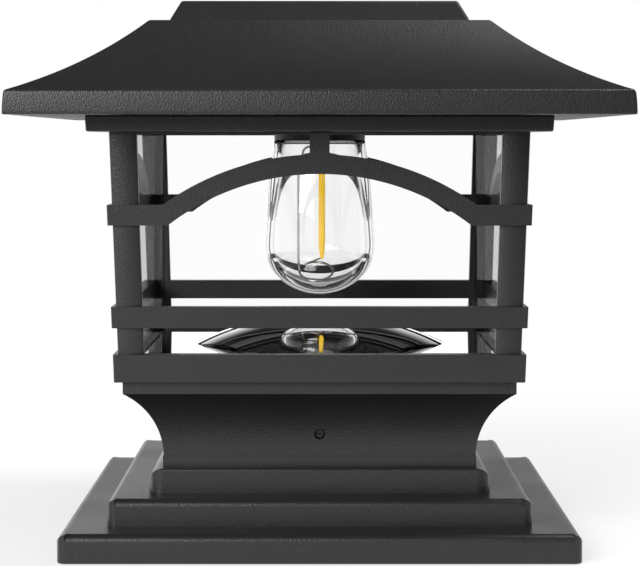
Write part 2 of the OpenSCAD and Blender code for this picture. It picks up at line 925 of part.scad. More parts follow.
// Lead wires of the filament: one above it, one down beside it and round under its tip
module filament_wires() {
    loop_r = (filament_x - wire_x) / 2;
    loop_z = filament_low;
    color([0.55, 0.56, 0.58]) {
        translate([filament_x, 0, filament_top])
            cylinder(bulb_z + 1.4 - filament_top, r = wire_r, $fn = 32);
        translate([wire_x, 0, loop_z])
            cylinder(bulb_z + 1.4 - loop_z, r = wire_r, $fn = 32);
        translate([(filament_x + wire_x) / 2, 0, loop_z])
            rotate([-90, 0, 0]) rotate_extrude(angle = 180)
                translate([loop_r, 0]) circle(wire_r, $fn = 32);
    }
}

// Switch

module switch_housing() {
    half = 5;
    roof_t = 1;
    color([0.1, 0.1, 0.1])
    difference() {
        translate([-half, switch_y - half + 0.5, deck_top]) cube([2 * half, 2 * half - 1, switch_h]);
        translate([0, switch_y, deck_top - 1]) cylinder(switch_h - roof_t + 1, r = 4.2);
    }
}

// Push button under the back eave
module switch_button() {
    color([0.12, 0.12, 0.12]) {
        translate([0, switch_y, eave_z - button_out])
            cylinder(deck_top + 0.2 - eave_z + button_out, r = button_r);
        translate([0, switch_y, deck_top]) cylinder(button_flange_h, r = button_r + 0.8);
    }
}

module switch_spring() {
    low = deck_top + button_flange_h;
    high = deck_top + switch_h - 1;
    color(STEEL)
    translate([0, switch_y, low]) coil_spring(2, 0.2, high - low, 3);
}

post_base();
neck();
lock_screws();
frame_front();
frame_right();
frame_back();
frame_left();
floor_tray();
tray_screws();
shade_seal();
clear_shade();
reflector();
top_collar();
collar_screws();
roof_shell();
head_deck();
deck_screws();
head_seal();
panel_frame();
panel_board();
solar_cells();
panel_seal();
panel_glass();
panel_leads();
battery_holder();
battery();
battery_plates();
battery_spring();
battery_leads();
battery_door();
door_pin();
circuit_board();
board_screws();
lamp_leads();
bulb_collar();
bulb_base();
bulb_glass();
filament();
filament_wires();
switch_housing();
switch_button();
switch_spring();
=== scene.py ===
"""Deck post cap light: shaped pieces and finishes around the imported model."""
import math

import bmesh
import bpy
from mathutils import Matrix, Vector


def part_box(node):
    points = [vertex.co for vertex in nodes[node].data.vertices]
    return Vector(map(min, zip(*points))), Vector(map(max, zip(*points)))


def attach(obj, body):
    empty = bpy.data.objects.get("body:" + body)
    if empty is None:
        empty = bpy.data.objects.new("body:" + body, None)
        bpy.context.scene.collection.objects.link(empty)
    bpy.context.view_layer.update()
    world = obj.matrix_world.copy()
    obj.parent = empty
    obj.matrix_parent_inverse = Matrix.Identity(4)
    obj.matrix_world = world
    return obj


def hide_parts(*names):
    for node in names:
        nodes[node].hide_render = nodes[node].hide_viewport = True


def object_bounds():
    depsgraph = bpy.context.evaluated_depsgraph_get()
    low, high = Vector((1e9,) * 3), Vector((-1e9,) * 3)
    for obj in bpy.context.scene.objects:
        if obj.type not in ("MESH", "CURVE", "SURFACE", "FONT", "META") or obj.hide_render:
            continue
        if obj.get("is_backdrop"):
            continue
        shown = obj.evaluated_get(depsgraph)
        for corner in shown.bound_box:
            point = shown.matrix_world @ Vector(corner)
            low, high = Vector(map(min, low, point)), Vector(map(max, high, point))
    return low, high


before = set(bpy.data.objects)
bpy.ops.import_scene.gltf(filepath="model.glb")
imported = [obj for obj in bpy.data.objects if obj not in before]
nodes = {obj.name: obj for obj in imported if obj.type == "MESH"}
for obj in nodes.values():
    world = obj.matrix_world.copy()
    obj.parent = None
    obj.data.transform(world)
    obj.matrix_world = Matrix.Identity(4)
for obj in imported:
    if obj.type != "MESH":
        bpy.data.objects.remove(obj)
cad_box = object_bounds()
scene = bpy.context.scene

MM = 0.001

# Driving sizes of the lantern, in millimetres
TIER_HALVES = (73.75, 60.9, 49.8)
TIER_TOPS = (8.2, 16.0, 23.2)
TIER_WALL = 2.2
SOCKET_HALVES = (71.55, 58.75, 47.45)
SPIGOT_HALF = 43.1
SPIGOT_H = 13
POST_SCREW_PITCH = 60
POST_SCREW_R = 2.25
NECK_FOOT_HALF = 45.8
NECK_BAND_HALF = 56.45
COVE_R = 23.3
NECK_SCREW_H = 9.7
NECK_SCREW_R = 1.5
CAGE_FOOT_HALF = 57.55
CAGE_LEAN = 0.03152
CAGE_T = 2.6
RAIL_PROUD = 1.45
WIDE_RAIL_H = 8.0
RAIL_GAP = 7.6
NARROW_RAIL_H = 6.1
POST_LEG = 7.35
POST_LEAN = 0.026
POST_CROWN = 0.35
ARCH_R = 70.9
ARCH_H = 5.55
ARCH_DROP = 19.4
TAB_UP = 36.9
TAB_H = 5.85
STUB_HALF = 2.83
STUB_FILLET = 0.75
HEAD_RAIL_H = 0.8
SHADE_T = 1.4
MIRROR_T = 1.2
DOME_R = 38.5
DOME_H = 8.4
BULB_R = 17.25
BULB_NECK_R = 14.1
BULB_T = 2.6
BULB_FOOT_T = 2.5
BULB_WIDE_UP = 28.6
FILAMENT_X = 0.7
FILAMENT_R = 1.02
WIRE_X = -6.65
WIRE_R = 0.36
WIRE_TOP_X = -0.9
BEND_X = -3
BEND_Z = 114.1
BEND_R = 2.2
LOOP_X = -1.1
LOOP_Z = 77.6
LOOP_R = 5.3
LOOP_SLANT = math.radians(26)
COLLAR_HALF = 65.5
COLLAR_INNER = 50.5
EAVE_HALF = 86.0
FASCIA_H = 6.64
FASCIA_LEAN = 0.068
ROOF_WALL = 2.2
ROOF_CURVE_R = 113.4
PANEL_FOOT_HALF = 43.6
PANEL_TOP_HALF = 40.15
PANEL_OPENING = 36.3
PANEL_RECESS = 37.9
CELL_PITCH = 11.8

# Colour of a clear sheet seen edge on
EDGE_GREY = (0.6, 0.6, 0.6)

# Small edge radii, in millimetres
CRISP = 0.3
RAIL_EDGE = 0.6
SOFT = 0.5
PANEL_EDGE = 0.8


def node_levels(node):
    """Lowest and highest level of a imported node, in millimetres."""
    low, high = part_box(node)
    return low.z / MM, high.z / MM


BASE_TOP, NECK_TOP = node_levels("neck")
WIDE_RAIL_TOP = NECK_TOP + WIDE_RAIL_H
NARROW_RAIL_Z = WIDE_RAIL_TOP + RAIL_GAP
COLLAR_Z, EAVE_Z = node_levels("top_collar")
ROOF_TOP = node_levels("panel_frame")[0]
PANEL_TOP = node_levels("panel_frame")[1]
HEAD_RAIL_TOP = node_levels("frame_front")[1]
SHADE_Z, SHADE_TOP = node_levels("clear_shade")
BULB_LOW = node_levels("bulb_glass")[0]
BULB_Z = node_levels("bulb_collar")[0]
FILAMENT_LOW, FILAMENT_TOP = node_levels("filament")
ARCH_Z = WIDE_RAIL_TOP - ARCH_DROP
TAB_Z = WIDE_RAIL_TOP + TAB_UP


# ---------------------------------------------------------------- camera

camera_data = bpy.data.cameras.new("camera")
camera_data.sensor_width = 36
camera_data.lens = 118.73
camera = bpy.data.objects.new("camera", camera_data)
camera.location = (0.0001, -0.6577, 0.11833)
camera.rotation_euler = (math.radians(90 - 3.865), 0, 0)
scene.collection.objects.link(camera)
scene.camera = camera
scene.view_settings.view_transform = "Standard"


# ---------------------------------------------------------------- shared node groups

def new_group(name, inputs, outputs):
    """Empty shader node group with named float, colour and vector sockets."""
    group = bpy.data.node_groups.new(name, "ShaderNodeTree")
    for label, kind, value in inputs:
        socket = group.interface.new_socket(label, in_out="INPUT", socket_type="NodeSocket" + kind)
        if value is not None:
            socket.default_value = value
    for label, kind in outputs:
        group.interface.new_socket(label, in_out="OUTPUT", socket_type="NodeSocket" + kind)
    return group, group.nodes.new("NodeGroupInput"), group.nodes.new("NodeGroupOutput")


def maths(tree, operation, first, second, clamp=False):
    """Math node whose operands are numbers or sockets; returns its output."""
    node = tree.nodes.new("ShaderNodeMath")
    node.operation = operation
    node.use_clamp = clamp
    for index, operand in enumerate((first, second)):
        if isinstance(operand, (int, float)):
            node.inputs[index].default_value = operand
        else:
            tree.links.new(operand, node.inputs[index])
    return node.outputs[0]


def noise(tree, vector, scale, detail=2.0, roughness=0.5):
    """Noise texture; scale is a number or a socket, in cycles per metre."""
    node = tree.nodes.new("ShaderNodeTexNoise")
    node.inputs["Detail"].default_value = detail
    node.inputs["Roughness"].default_value = roughness
    tree.links.new(vector, node.inputs["Vector"])
    if isinstance(scale, (int, float)):
        node.inputs["Scale"].default_value = scale
    else:
        tree.links.new(scale, node.inputs["Scale"])
    return node.outputs["Fac"]


def build_pebble_group():
    """Moulded pebble grain: rounded bumps of uneven size over a finer tooth."""
    group, given, result = new_group(
        "pebble_grain",
        [("Vector", "Vector", None), ("Scale", "Float", 2000.0), ("Tooth", "Float", 0.35)],
        [("Height", "Float"), ("Tone", "Float")],
    )
    links = group.links
    bumps = group.nodes.new("ShaderNodeTexVoronoi")
    bumps.feature = "SMOOTH_F1"
    bumps.inputs["Smoothness"].default_value = 0.6
    links.new(given.outputs["Vector"], bumps.inputs["Vector"])
    links.new(given.outputs["Scale"], bumps.inputs["Scale"])
    tooth_scale = maths(group, "MULTIPLY", given.outputs["Scale"], 2.3)
    tooth = noise(group, given.outputs["Vector"], tooth_scale, 3.0, 0.6)
    scaled_tooth = maths(group, "MULTIPLY", tooth, given.outputs["Tooth"])
    links.new(maths(group, "ADD", bumps.outputs["Distance"], scaled_tooth), result.inputs["Height"])
    drift_scale = maths(group, "MULTIPLY", given.outputs["Scale"], 0.35)
    links.new(noise(group, given.outputs["Vector"], drift_scale), result.inputs["Tone"])
    return group


def build_handling_group():
    """Faint handling: soft smudges and sparse fine dust."""
    group, given, result = new_group(
        "handling_marks",
        [("Vector", "Vector", None), ("Smudge Scale", "Float", 28.0), ("Dust Scale", "Float", 900.0)],
        [("Smudge", "Float"), ("Dust", "Float")],
    )
    links = group.links
    smudge = noise(group, given.outputs["Vector"], given.outputs["Smudge Scale"], 3.0, 0.55)
    raised = maths(group, "SUBTRACT", smudge, 0.42)
    links.new(maths(group, "MULTIPLY", raised, 3.0, clamp=True), result.inputs["Smudge"])
    speck = noise(group, given.outputs["Vector"], given.outputs["Dust Scale"], 2.0, 0.7)
    sparse = maths(group, "SUBTRACT", speck, 0.66)
    links.new(maths(group, "MULTIPLY", sparse, 8.0, clamp=True), result.inputs["Dust"])
    return group


PEBBLE = build_pebble_group()
HANDLING = build_handling_group()


# ---------------------------------------------------------------- materials

class Finish:
    """A material under construction, with Object coordinates and a Principled BSDF."""

    def __init__(self, name):
        self.material = bpy.data.materials.new(name)
        self.material.use_nodes = True
        self.tree = self.material.node_tree
        self.shader = self.tree.nodes["Principled BSDF"]
        self.output = self.tree.nodes["Material Output"]
        coordinates = self.tree.nodes.new("ShaderNodeTexCoord")
        self.place = coordinates.outputs["Object"]

    def plain(self, **values):
        """Sets sockets of the Principled BSDF that stay the same all over."""
        for key, value in values.items():
            self.shader.inputs[key.replace("_", " ")].default_value = value

    def group(self, group, **values):
        node = self.tree.nodes.new("ShaderNodeGroup")
        node.node_tree = group
        self.tree.links.new(self.place, node.inputs["Vector"])
        for key, value in values.items():
            node.inputs[key.replace("_", " ")].default_value = value
        return node.outputs

    def mix(self, factor, first, second):
        """Colour that runs from first to second with factor; both are colours or sockets."""
        node = self.tree.nodes.new("ShaderNodeMix")
        node.data_type = "RGBA"
        self.tree.links.new(factor, node.inputs[0])
        for index, colour in ((6, first), (7, second)):
            if isinstance(colour, tuple):
                node.inputs[index].default_value = (*colour, 1)
            else:
                self.tree.links.new(colour, node.inputs[index])
        return node.outputs[2]

    def spread(self, factor, low, high):
        """Value from low to high as factor runs from 0 to 1."""
        node = self.tree.nodes.new("ShaderNodeMapRange")
        self.tree.links.new(factor, node.inputs["Value"])
        node.inputs["To Min"].default_value = low
        node.inputs["To Max"].default_value = high
        return node.outputs["Result"]

    def feed(self, socket, source):
        self.tree.links.new(source, self.shader.inputs[socket])

    def bump(self, height, depth):
        """Relief from a height mask; depth is in millimetres."""
        node = self.tree.nodes.new("ShaderNodeBump")
        node.inputs["Distance"].default_value = depth * MM
        self.tree.links.new(height, node.inputs["Height"])
        self.feed("Normal", node.outputs["Normal"])

    def stripes(self, axis, pitch, width, first=0.0):
        """Mask that is 1 on lines of a width, a pitch apart from the first along an axis, in millimetres."""
        split = self.tree.nodes.new("ShaderNodeSeparateXYZ")
        self.tree.links.new(self.place, split.inputs[0])
        from_edge = maths(self.tree, "SUBTRACT", split.outputs[axis], (first - width / 2) * MM)
        turns = maths(self.tree, "DIVIDE", from_edge, pitch * MM)
        phase = maths(self.tree, "FRACT", turns, 0.0)
        return maths(self.tree, "LESS_THAN", phase, width / pitch)


def moulded(name, dark, light, gloss, grain_scale, grain_depth):
    """Moulded plastic: pebble grain, slight colour drift, smudges in the gloss."""
    finish = Finish(name)
    grain = finish.group(PEBBLE, Scale=grain_scale)
    marks = finish.group(HANDLING)
    body = finish.mix(grain["Tone"], dark, light)
    dusty = finish.mix(finish.spread(marks["Dust"], 0.0, 0.12), body, (0.30, 0.30, 0.29))
    finish.feed("Base Color", dusty)
    finish.feed("Roughness", finish.spread(marks["Smudge"], gloss, gloss + 0.06))
    finish.bump(grain["Height"], grain_depth)
    return finish


def shell_black():
    finish = moulded("satin_black_shell", (0.015, 0.015, 0.0155), (0.020, 0.020, 0.0205), 0.33, 2300.0, 0.055)
    finish.plain(IOR=1.5)
    return finish.material


def inner_black():
    finish = moulded("matt_black_inner", (0.010, 0.010, 0.010), (0.016, 0.016, 0.016), 0.52, 1500.0, 0.03)
    return finish.material


def rubber(name, dark, light):
    """Soft foam or rubber with an open, dull surface."""
    finish = moulded(name, dark, light, 0.75, 1300.0, 0.08)
    finish.plain(Specular_IOR_Level=0.3)
    return finish.material


def blackened_screw():
    finish = moulded("blackened_screw", (0.012, 0.012, 0.012), (0.03, 0.03, 0.03), 0.32, 3500.0, 0.01)
    finish.plain(Metallic=0.5)
    return finish.material


def plated_metal(name, dull, bright, gloss):
    """Plated metal with fine brushing along one axis."""
    finish = Finish(name)
    stretch = finish.tree.nodes.new("ShaderNodeMapping")
    stretch.inputs["Scale"].default_value = (1, 0.06, 1)
    finish.tree.links.new(finish.place, stretch.inputs["Vector"])
    brushing = noise(finish.tree, stretch.outputs["Vector"], 6000.0, 3.0, 0.6)
    marks = finish.group(HANDLING)
    finish.feed("Base Color", finish.mix(brushing, dull, bright))
    finish.feed("Roughness", finish.spread(marks["Smudge"], gloss, gloss + 0.12))
    finish.plain(Metallic=1.0)
    finish.bump(brushing, 0.004)
    return finish.material


def mirror_film():
    finish = Finish("mirror_film")
    marks = finish.group(HANDLING, Smudge_Scale=40.0)
    finish.feed("Base Color", finish.mix(marks["Smudge"], (0.88, 0.885, 0.89), (0.84, 0.845, 0.85)))
    finish.feed("Roughness", finish.spread(marks["Smudge"], 0.0, 0.015))
    finish.plain(Metallic=1.0)
    return finish.material


def let_light_through(finish):
    """Lets lamp light pass a clear piece instead of being stopped by it."""
    tree = finish.tree
    ray = tree.nodes.new("ShaderNodeLightPath")
    clear = tree.nodes.new("ShaderNodeBsdfTransparent")
    chooser = tree.nodes.new("ShaderNodeMixShader")
    tree.links.new(ray.outputs["Is Shadow Ray"], chooser.inputs[0])
    tree.links.new(finish.shader.outputs[0], chooser.inputs[1])
    tree.links.new(clear.outputs[0], chooser.inputs[2])
    tree.links.new(chooser.outputs[0], finish.output.inputs["Surface"])


def clear_sheet(name, sheen_share):
    """Thin clear sheet: it bends no light, turns grey where it is seen edge on, and has a faint sheen."""
    finish = Finish(name)
    tree = finish.tree
    marks = finish.group(HANDLING, Smudge_Scale=35.0)
    finish.feed("Base Color", finish.mix(marks["Dust"], (0.02, 0.02, 0.02), (0.3, 0.3, 0.3)))
    finish.feed("Roughness", finish.spread(marks["Smudge"], 0.0, 0.03))
    finish.plain(IOR=1.49)
    slant = tree.nodes.new("ShaderNodeLayerWeight")
    edge_on = maths(tree, "POWER", slant.outputs["Facing"], 6.0)
    clear = tree.nodes.new("ShaderNodeBsdfTransparent")
    tree.links.new(finish.mix(edge_on, (1.0, 1.0, 1.0), EDGE_GREY), clear.inputs["Color"])
    chooser = tree.nodes.new("ShaderNodeMixShader")
    tree.links.new(finish.spread(slant.outputs["Facing"], 0.006, sheen_share), chooser.inputs[0])
    tree.links.new(clear.outputs[0], chooser.inputs[1])
    tree.links.new(finish.shader.outputs[0], chooser.inputs[2])
    tree.links.new(chooser.outputs[0], finish.output.inputs["Surface"])
    return finish.material


def clear_solid(name, tint, ior, haze):
    """Clear glass or plastic with the faintest smudges in its gloss."""
    finish = Finish(name)
    marks = finish.group(HANDLING, Smudge_Scale=35.0)
    cloudy = tuple(0.985 * part for part in tint)
    finish.feed("Base Color", finish.mix(marks["Smudge"], tint, cloudy))
    finish.feed("Roughness", finish.spread(marks["Dust"], 0.0, haze))
    finish.plain(IOR=ior, Transmission_Weight=1.0)
    let_light_through(finish)
    return finish.material


def solder_mask(name, dark, light, track):
    finish = Finish(name)
    tracks = maths(finish.tree, "MAXIMUM", finish.stripes(0, 2.6, 0.7), finish.stripes(1, 4.4, 0.7))
    weave = noise(finish.tree, finish.place, 900.0, 3.0, 0.6)
    finish.feed("Base Color", finish.mix(tracks, finish.mix(weave, dark, light), track))
    finish.feed("Roughness", finish.spread(weave, 0.28, 0.4))
    finish.bump(tracks, 0.03)
    return finish.material


def solar_silicon():
    finish = Finish("solar_silicon")
    fingers = finish.stripes(1, 1.6, 0.14)
    busbars = finish.stripes(0, CELL_PITCH, 0.9, CELL_PITCH / 2)
    printed = maths(finish.tree, "MAXIMUM", maths(finish.tree, "MULTIPLY", fingers, 0.25), busbars)
    crystal = finish.tree.nodes.new("ShaderNodeTexVoronoi")
    crystal.inputs["Scale"].default_value = 260.0
    finish.tree.links.new(finish.place, crystal.inputs["Vector"])
    silicon = finish.mix(crystal.outputs["Color"], (0.004, 0.007, 0.022), (0.009, 0.016, 0.05))
    finish.feed("Base Color", finish.mix(printed, silicon, (0.52, 0.53, 0.55)))
    finish.feed("Metallic", maths(finish.tree, "MULTIPLY", printed, 0.9))
    finish.feed("Roughness", finish.spread(printed, 0.18, 0.42))
    return finish.material


def wire_sheath(name, dark, light):
    finish = moulded(name, dark, light, 0.42, 2600.0, 0.01)
    return finish.material


def cell_sleeve():
    finish = Finish("plain_cell_sleeve")
    shrink = noise(finish.tree, finish.place, 420.0, 2.0, 0.5)
    marks = finish.group(HANDLING)
    finish.feed("Base Color", finish.mix(shrink, (0.02, 0.16, 0.075), (0.03, 0.2, 0.1)))
    finish.feed("Roughness", finish.spread(marks["Smudge"], 0.22, 0.34))
    finish.plain(Coat_Weight=0.3)
    finish.bump(shrink, 0.03)
    return finish.material


def pale_moulding():
    finish = moulded("pale_plug", (0.62, 0.61, 0.57), (0.72, 0.71, 0.67), 0.4, 1800.0, 0.015)
    return finish.material


def phosphor_with_painted_glow():
    finish = Finish("yellow_phosphor_with_painted_glow")
    grain = noise(finish.tree, finish.place, 5200.0, 3.0, 0.6)
    coating = finish.mix(grain, (0.80, 0.48, 0.02), (0.90, 0.58, 0.035))
    finish.feed("Base Color", coating)
    # Painted glow: the coating colour is also emitted, at the strength of 0.5 set below, so the filament
    # shines faintly though it is not lit as a lamp
    finish.feed("Emission Color", coating)
    finish.feed("Roughness", finish.spread(grain, 0.45, 0.6))
    finish.plain(Emission_Strength=0.5)
    finish.bump(grain, 0.03)
    return finish.material


SHELL = shell_black()
INNER = inner_black()
SEAL = rubber("foam_seal", (0.018, 0.018, 0.018), (0.035, 0.035, 0.035))
BUTTON_RUBBER = rubber("button_rubber", (0.012, 0.012, 0.012), (0.024, 0.024, 0.024))
SCREW_BLACK = blackened_screw()
STEEL = plated_metal("zinc_plated_steel", (0.50, 0.51, 0.52), (0.66, 0.67, 0.68), 0.28)
WIRE = plated_metal("bright_wire", (0.48, 0.48, 0.49), (0.62, 0.62, 0.63), 0.16)
MIRROR = mirror_film()
SHADE_CLEAR = clear_sheet("clear_shade_plastic", 0.08)
BULB_CLEAR = clear_solid("clear_bulb_glass", (0.985, 0.987, 0.987), 1.5, 0.0)
PANEL_CLEAR = clear_solid("panel_cover_glass", (0.97, 0.98, 0.985), 1.5, 0.06)
BOARD_GREEN = solder_mask(
    "green_solder_mask", (0.012, 0.085, 0.04), (0.02, 0.11, 0.055), (0.03, 0.17, 0.09))
BOARD_BLACK = solder_mask(
    "black_solder_mask", (0.006, 0.007, 0.009), (0.012, 0.013, 0.016), (0.02, 0.021, 0.024))
SILICON = solar_silicon()
RED_SHEATH = wire_sheath("red_wire_sheath", (0.36, 0.012, 0.010), (0.44, 0.02, 0.015))
BLACK_SHEATH = wire_sheath("black_wire_sheath", (0.010, 0.010, 0.010), (0.016, 0.016, 0.016))
CELL_GREEN = cell_sleeve()
PALE = pale_moulding()
PHOSPHOR_WITH_PAINTED_GLOW = phosphor_with_painted_glow()

NODE_FINISHES = {
    "floor_tray": INNER, "head_deck": INNER, "battery_holder": INNER, "battery_door": INNER,
    "switch_housing": INNER, "shade_seal": SEAL, "head_seal": SEAL, "panel_seal": SEAL,
    "panel_board": BOARD_BLACK, "circuit_board": BOARD_GREEN, "solar_cells": SILICON,
    "panel_leads": RED_SHEATH, "battery_leads": RED_SHEATH, "lamp_leads": BLACK_SHEATH,
    "battery": CELL_GREEN, "battery_plates": STEEL, "battery_spring": STEEL, "door_pin": STEEL,
    "board_screws": STEEL, "switch_spring": STEEL, "switch_button": BUTTON_RUBBER, "bulb_base": PALE,
}
for node_name, finish_material in NODE_FINISHES.items():
    for material_slot in nodes[node_name].material_slots:
        material_slot.material = finish_material


# ---------------------------------------------------------------- modelling helpers

def arc(centre, radius, start, stop, steps):
    """Points of (half width, height) along an arc, from one angle to another in degrees."""
    turn = [math.radians(start + (stop - start) * i / steps) for i in range(steps + 1)]
    return [(centre[0] + radius * math.cos(a), centre[1] + radius * math.sin(a)) for a in turn]


def spun(profile, steps, closed=True, diagonal=False):
    """Form spun about Z from a side profile of (half width, height) points."""
    bm = bmesh.new()
    verts = [bm.verts.new((half, half if diagonal else 0, z)) for half, z in profile]
    pairs = zip(verts, verts[1:] + verts[:1] if closed else verts[1:])
    edges = [bm.edges.new(pair) for pair in pairs]
    bmesh.ops.spin(
        bm, geom=verts + edges, cent=(0, 0, 0), axis=(0, 0, 1), dvec=(0, 0, 0),
        angle=2 * math.pi, steps=steps, use_merge=True, use_duplicate=False,
    )
    bmesh.ops.remove_doubles(bm, verts=bm.verts, dist=0.0005)
    rims = [e for e in bm.edges if e.is_boundary]
    if rims:
        bmesh.ops.holes_fill(bm, edges=rims, sides=0)
    bmesh.ops.recalc_face_normals(bm, faces=bm.faces)
    return bm


def square_form(profile, closed=True):
    """Four-sided form with mitred corners, spun from a side profile."""
    return spun(profile, 4, closed, diagonal=True)


def lathe(profile, steps=96, closed=True):
    return spun(profile, steps, closed)


def middle(edge):
    return (edge.verts[0].co + edge.verts[1].co) / 2


def is_hip(edge):
    """True for an edge that lies on a corner of a four-sided form."""
    return all(abs(abs(v.co.x) - abs(v.co.y)) < 0.01 for v in edge.verts)


def round_edges(bm, radius, segments, chosen, least_angle=25):
    """Rounds the sharp edges that the test picks."""
    sharp = [
        e for e in bm.edges
        if e.is_manifold and e.calc_face_angle(0) > math.radians(least_angle) and chosen(e)
    ]
    bmesh.ops.bevel(
        bm, geom=sharp, offset=radius, offset_type="OFFSET", segments=segments, profile=0.5,
        affect="EDGES", clamp_overlap=True, material=-1,
    )


def near(value, target, slack=0.06):
    return abs(value - target) < slack


def block(low, high):
    """Box from its lowest to its highest corner."""
    bm = bmesh.new()
    bmesh.ops.create_cube(bm, size=1)
    size = Vector(high) - Vector(low)
    bmesh.ops.scale(bm, vec=size, verts=bm.verts)
    bmesh.ops.translate(bm, vec=Vector(low) + size / 2, verts=bm.verts)
    return bm


def rod(radius, low, high, segments=48):
    """Upright cylinder on the Z axis."""
    bm = bmesh.new()
    bmesh.ops.create_cone(
        bm, cap_ends=True, segments=segments, radius1=radius, radius2=radius, depth=high - low
    )
    bmesh.ops.translate(bm, vec=(0, 0, (low + high) / 2), verts=bm.verts)
    return bm


def placed(bm, matrix):
    bmesh.ops.transform(bm, matrix=matrix, verts=bm.verts)
    return bm


def merged(parts):
    """One form that holds several forms; the parts are used up."""
    mesh = bpy.data.meshes.new("merged")
    whole = bmesh.new()
    for part in parts:
        part.to_mesh(mesh)
        part.free()
        whole.from_mesh(mesh)
    bpy.data.meshes.remove(mesh)
    return whole


def temporary(bm):
    mesh = bpy.data.meshes.new("temporary")
    bm.to_mesh(mesh)
    bm.free()
    thing = bpy.data.objects.new("temporary", mesh)
    scene.collection.objects.link(thing)
    return thing


def combined(form, tool, operation):
    """Result of a boolean between two forms; both are used up."""
    things = (temporary(form), temporary(tool))
    modifier = things[0].modifiers.new("boolean", "BOOLEAN")
    modifier.operation = operation
    modifier.solver = "EXACT"
    modifier.object = things[1]
    depsgraph = bpy.context.evaluated_depsgraph_get()
    mesh = bpy.data.meshes.new_from_object(things[0].evaluated_get(depsgraph))
    result = bmesh.new()
    result.from_mesh(mesh)
    bpy.data.meshes.remove(mesh)
    for thing in things:
        old = thing.data
        bpy.data.objects.remove(thing)
        bpy.data.meshes.remove(old)
    return result


def repeated(bm, count):
    """Copies of a form turned evenly about Z."""
    bmesh.ops.spin(
        bm, geom=bm.verts[:] + bm.edges[:] + bm.faces[:], cent=(0, 0, 0), axis=(0, 0, 1),
        dvec=(0, 0, 0), angle=2 * math.pi * (count - 1) / count, steps=count - 1, use_duplicate=True,
    )
    return bm


def finish_piece(name, bm, material, body, stands_for, sharp=32, even_flats=True):
    """Turns a form in millimetres into a finished piece that rides on a body."""
    bmesh.ops.scale(bm, vec=(MM, MM, MM), verts=bm.verts)
    mesh = bpy.data.meshes.new(name)
    bm.to_mesh(mesh)
    bm.free()
    mesh.shade_smooth()
    mesh.set_sharp_from_angle(angle=math.radians(sharp))
    mesh.materials.append(material)
    piece = bpy.data.objects.new(name, mesh)
    scene.collection.objects.link(piece)
    if even_flats:
        flats = piece.modifiers.new("even_flats", "WEIGHTED_NORMAL")
        flats.keep_sharp = True
    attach(piece, body)
    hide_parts(*stands_for)
    return piece


# ---------------------------------------------------------------- skirt and neck

def stepped_skirt():
    """Three tiers with rounded corners, hollow below to clear three sizes of post."""
    floor_in = SPIGOT_HALF - TIER_WALL
    profile = [(floor_in, BASE_TOP), (floor_in, BASE_TOP + SPIGOT_H)]
    profile += [(SPIGOT_HALF, BASE_TOP + SPIGOT_H), (SPIGOT_HALF, BASE_TOP)]
    levels = (0,) + TIER_TOPS
    for half, low, high in reversed(list(zip(TIER_HALVES, levels, levels[1:]))):
        profile += [(half, high), (half, low)]
    for half, low, high in zip(SOCKET_HALVES, levels, levels[1:]):
        profile += [(half, max(0, low - TIER_WALL)), (half, high - TIER_WALL)]
    bm = square_form(profile, closed=False)
    for half, low, high, corner in zip(TIER_HALVES, levels, levels[1:], (2.6, 2.6, 4.2)):
        round_edges(bm, corner, 6, lambda e: is_hip(e) and near(abs(middle(e).x), half)
                    and low < middle(e).z < high)
    for half, high, edge in zip(TIER_HALVES, TIER_TOPS, (2.2, 2.2, 0.8)):
        round_edges(bm, edge, 5, lambda e: near(e.verts[0].co.z, high) and near(e.verts[1].co.z, high)
                    and max(abs(middle(e).x), abs(middle(e).y)) > half - 3.5)
    round_edges(bm, CRISP, 2, lambda e: near(e.verts[0].co.z, 0) and near(e.verts[1].co.z, 0)
                and max(abs(middle(e).x), abs(middle(e).y)) > TIER_HALVES[0] - 1)
    holes = rod(POST_SCREW_R, BASE_TOP - 2 * TIER_WALL, BASE_TOP + 1)
    placed(holes, Matrix.Translation((POST_SCREW_PITCH / 2, POST_SCREW_PITCH / 2, 0)))
    bm = combined(bm, repeated(holes, 4), "DIFFERENCE")
    return finish_piece("stepped_skirt", bm, SHELL, "lantern", ["post_base"])


def coved_neck():
    """Straight rim, hollow cove and flat band, open inside."""
    centre = (NECK_FOOT_HALF + COVE_R - 0.2, BASE_TOP + 2.9)
    reach = math.degrees(math.acos((centre[0] - NECK_BAND_HALF) / COVE_R))
    inner_reach = math.degrees(math.acos((centre[0] - NECK_BAND_HALF + TIER_WALL) / (COVE_R + TIER_WALL)))
    profile = [(NECK_FOOT_HALF, BASE_TOP), (NECK_FOOT_HALF, BASE_TOP + 3.1)]
    profile += arc(centre, COVE_R, 180, 180 - reach, 20)
    profile += [(NECK_BAND_HALF, NECK_TOP), (42, NECK_TOP), (42, NECK_TOP - TIER_WALL)]
    inner = arc(centre, COVE_R + TIER_WALL, 180 - inner_reach, 180, 16)
    profile += [(inner[0][0], NECK_TOP - TIER_WALL)] + inner
    profile += [(NECK_FOOT_HALF - TIER_WALL, BASE_TOP)]
    bm = square_form(profile)
    outer = lambda e: abs(middle(e).x) > NECK_FOOT_HALF - 0.5 and middle(e).z < NECK_TOP - 0.1
    round_edges(bm, CRISP, 3, lambda e: is_hip(e) and outer(e) and middle(e).z > BASE_TOP + 3)
    round_edges(bm, 0.6, 3, lambda e: is_hip(e) and outer(e) and middle(e).z < BASE_TOP + 3)
    round_edges(bm, 0.12, 2, lambda e: near(middle(e).z, BASE_TOP + 3.1) and not is_hip(e))
    hole = rod(NECK_SCREW_R + 0.12, NECK_FOOT_HALF - 4, NECK_FOOT_HALF + 4)
    placed(hole, Matrix.Translation((0, 0, BASE_TOP + NECK_SCREW_H)) @ Matrix.Rotation(math.pi / 2, 4, "X"))
    bm = combined(bm, repeated(hole, 2), "DIFFERENCE")
    return finish_piece("coved_neck", bm, SHELL, "lantern", ["neck"])


